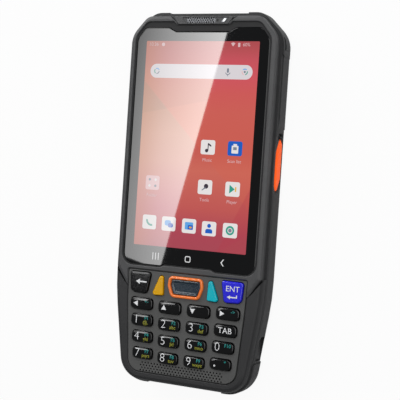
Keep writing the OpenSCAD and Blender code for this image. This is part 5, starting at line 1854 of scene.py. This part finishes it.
@dataclass
class Stage:
    """Floor, soft lamps and the camera; its own sizes are metres."""

    camera_at: Place = (0.19174, 0.00931, 0.41347)
    right: Place = (0.90091, 0.06618, -0.42892)
    up: Place = (-0.06840, 0.99761, 0.01026)
    forward: Place = (-0.42857, -0.02010, -0.90328)
    lens: float = 95.34
    floor_size: float = 6.0
    card_z: float = 0.62
    card_w: float = 0.16
    # Where the card's mirrored edge meets the head and the foot of the glass, about the display's middle in millimetres
    edge_head: Point = (12.87, 54.5)
    edge_foot: Point = (-12.77, -53.0)

    def build(self) -> None:
        """Makes all of the stage."""
        self.floor()
        self.surround()
        for lamp in LAMPS:
            lamp.build()
        self.glare_card()
        self.camera()

    def floor(self) -> None:
        """A plain white floor that keeps a soft shadow."""
        bm = bmesh.new()
        bmesh.ops.create_grid(bm, x_segments=1, y_segments=1, size=self.floor_size / 2)
        floor = new_object("floor", bm)
        # White paper sweep: matt, and lifted to white where the camera sees it
        material, tree = new_material("floor_white")
        shader = tree.nodes["Principled BSDF"]
        feed(tree, shader, {"Base Color": linear("#f2f2f2"), "Roughness": 0.9})
        glow = add_node(tree, "ShaderNodeEmission", {"Color": WHITE, "Strength": 1.0})
        path = add_node(tree, "ShaderNodeLightPath")
        seen = add_node(tree, "ShaderNodeMath", {0: path.outputs["Is Camera Ray"], 1: 0.93}, operation="MULTIPLY")
        mix = add_node(tree, "ShaderNodeMixShader", {"Fac": seen.outputs[0], 1: shader.outputs[0], 2: glow.outputs[0]})
        feed(tree, tree.nodes["Material Output"], {"Surface": mix.outputs[0]})
        floor.data.materials.append(material)

    def surround(self) -> None:
        """A dim pale surround."""
        scene = bpy.context.scene
        scene.world = scene.world or bpy.data.worlds.new("surround")
        scene.world.use_nodes = True
        tree = scene.world.node_tree
        feed(tree, tree.nodes["Background"], {"Color": linear("#dfe2e6"), "Strength": 0.2})

    def glare_card(self) -> None:
        """A white card that only mirrors see: its straight edge crosses the glass."""
        z = S.glass_z * MM
        eye = Vector(self.camera_at)
        mirror_eye = Vector((eye.x, eye.y, 2 * z - eye.z))

        def on_card(x: float, y: float) -> Vector:
            """Where the mirrored view through a point of the glass meets the card's plane."""
            way = Vector((x * MM, (y + S.lcd_y) * MM, z)) - mirror_eye
            return mirror_eye + way * ((self.card_z - mirror_eye.z) / way.z)

        head, foot = on_card(*self.edge_head), on_card(*self.edge_foot)
        edge = (head - foot).normalized()
        left = Vector((-edge.y, edge.x, 0)) * self.card_w
        if left.x > 0:
            left = -left
        bm = bmesh.new()
        face = bm.faces.new([bm.verts.new(corner) for corner in (head, foot, foot + left, head + left)])
        layer = bm.loops.layers.uv.new("UVMap")
        for loop, uv in zip(face.loops, [(1, 1), (1, 0), (0, 0), (0, 1)]):
            loop[layer].uv = uv
        card = new_object("glare_card", bm)
        # Lit white card: brighter towards its straight edge, and most at its head
        material, tree = new_material("card_white")
        tree.nodes.remove(tree.nodes["Principled BSDF"])
        uv = add_node(tree, "ShaderNodeUVMap", uv_map="UVMap")
        x, y, _ = add_node(tree, "ShaderNodeSeparateXYZ", {0: uv.outputs[0]}).outputs
        steep = add_node(tree, "ShaderNodeMapRange", {"Value": y, "To Min": 10.0, "To Max": 16.4})
        start = add_node(tree, "ShaderNodeMapRange", {"Value": y, "To Min": -1.6, "To Max": -2.4})
        fade = add_node(tree, "ShaderNodeMath", {0: x, 1: steep.outputs["Result"], 2: start.outputs["Result"]},
                        operation="MULTIPLY_ADD")
        level = add_node(tree, "ShaderNodeMath", {0: fade.outputs[0], 1: 1.5}, operation="MAXIMUM")
        glow = add_node(tree, "ShaderNodeEmission", {"Color": WHITE, "Strength": level.outputs[0]})
        feed(tree, tree.nodes["Material Output"], {"Surface": glow.outputs[0]})
        card.data.materials.append(material)
        for ray in ("camera", "diffuse", "shadow", "transmission"):
            setattr(card, f"visible_{ray}", False)

    def camera(self) -> None:
        """The camera, at the angle the terminal is shown from."""
        data = bpy.data.cameras.new("camera")
        data.lens, data.sensor_width, data.sensor_fit, data.clip_start = self.lens, 36.0, "HORIZONTAL", 0.01
        camera = bpy.data.objects.new("camera", data)
        turn = Matrix((Vector(self.right), Vector(self.up), -Vector(self.forward))).transposed().to_4x4()
        camera.matrix_world = Matrix.Translation(self.camera_at) @ turn
        bpy.context.scene.collection.objects.link(camera)
        bpy.context.scene.camera = camera


def dress_frame(nodes: dict[str, Piece]) -> None:
    """Gives every CAD node its own material."""
    finish_of = {name: finish for finish, names in NODES_OF.items() for name in names.split()}
    for name, obj in nodes.items():
        obj.data.materials.clear()
        obj.data.materials.append(finish_of.get(name, KEY_BLACK).material())


def main() -> None:
    """Builds the sub-assemblies in order."""
    logging.basicConfig(level=logging.INFO, format="%(name)s: %(message)s")
    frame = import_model()
    bpy.context.scene.view_settings.view_transform = "Standard"
    Stage().build()
    dress_frame(frame["nodes"])
    Front().build()
    Keypad().build()
    Sides().build()
    Rear().build()
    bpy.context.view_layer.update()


if __name__ == "__main__":
    main()
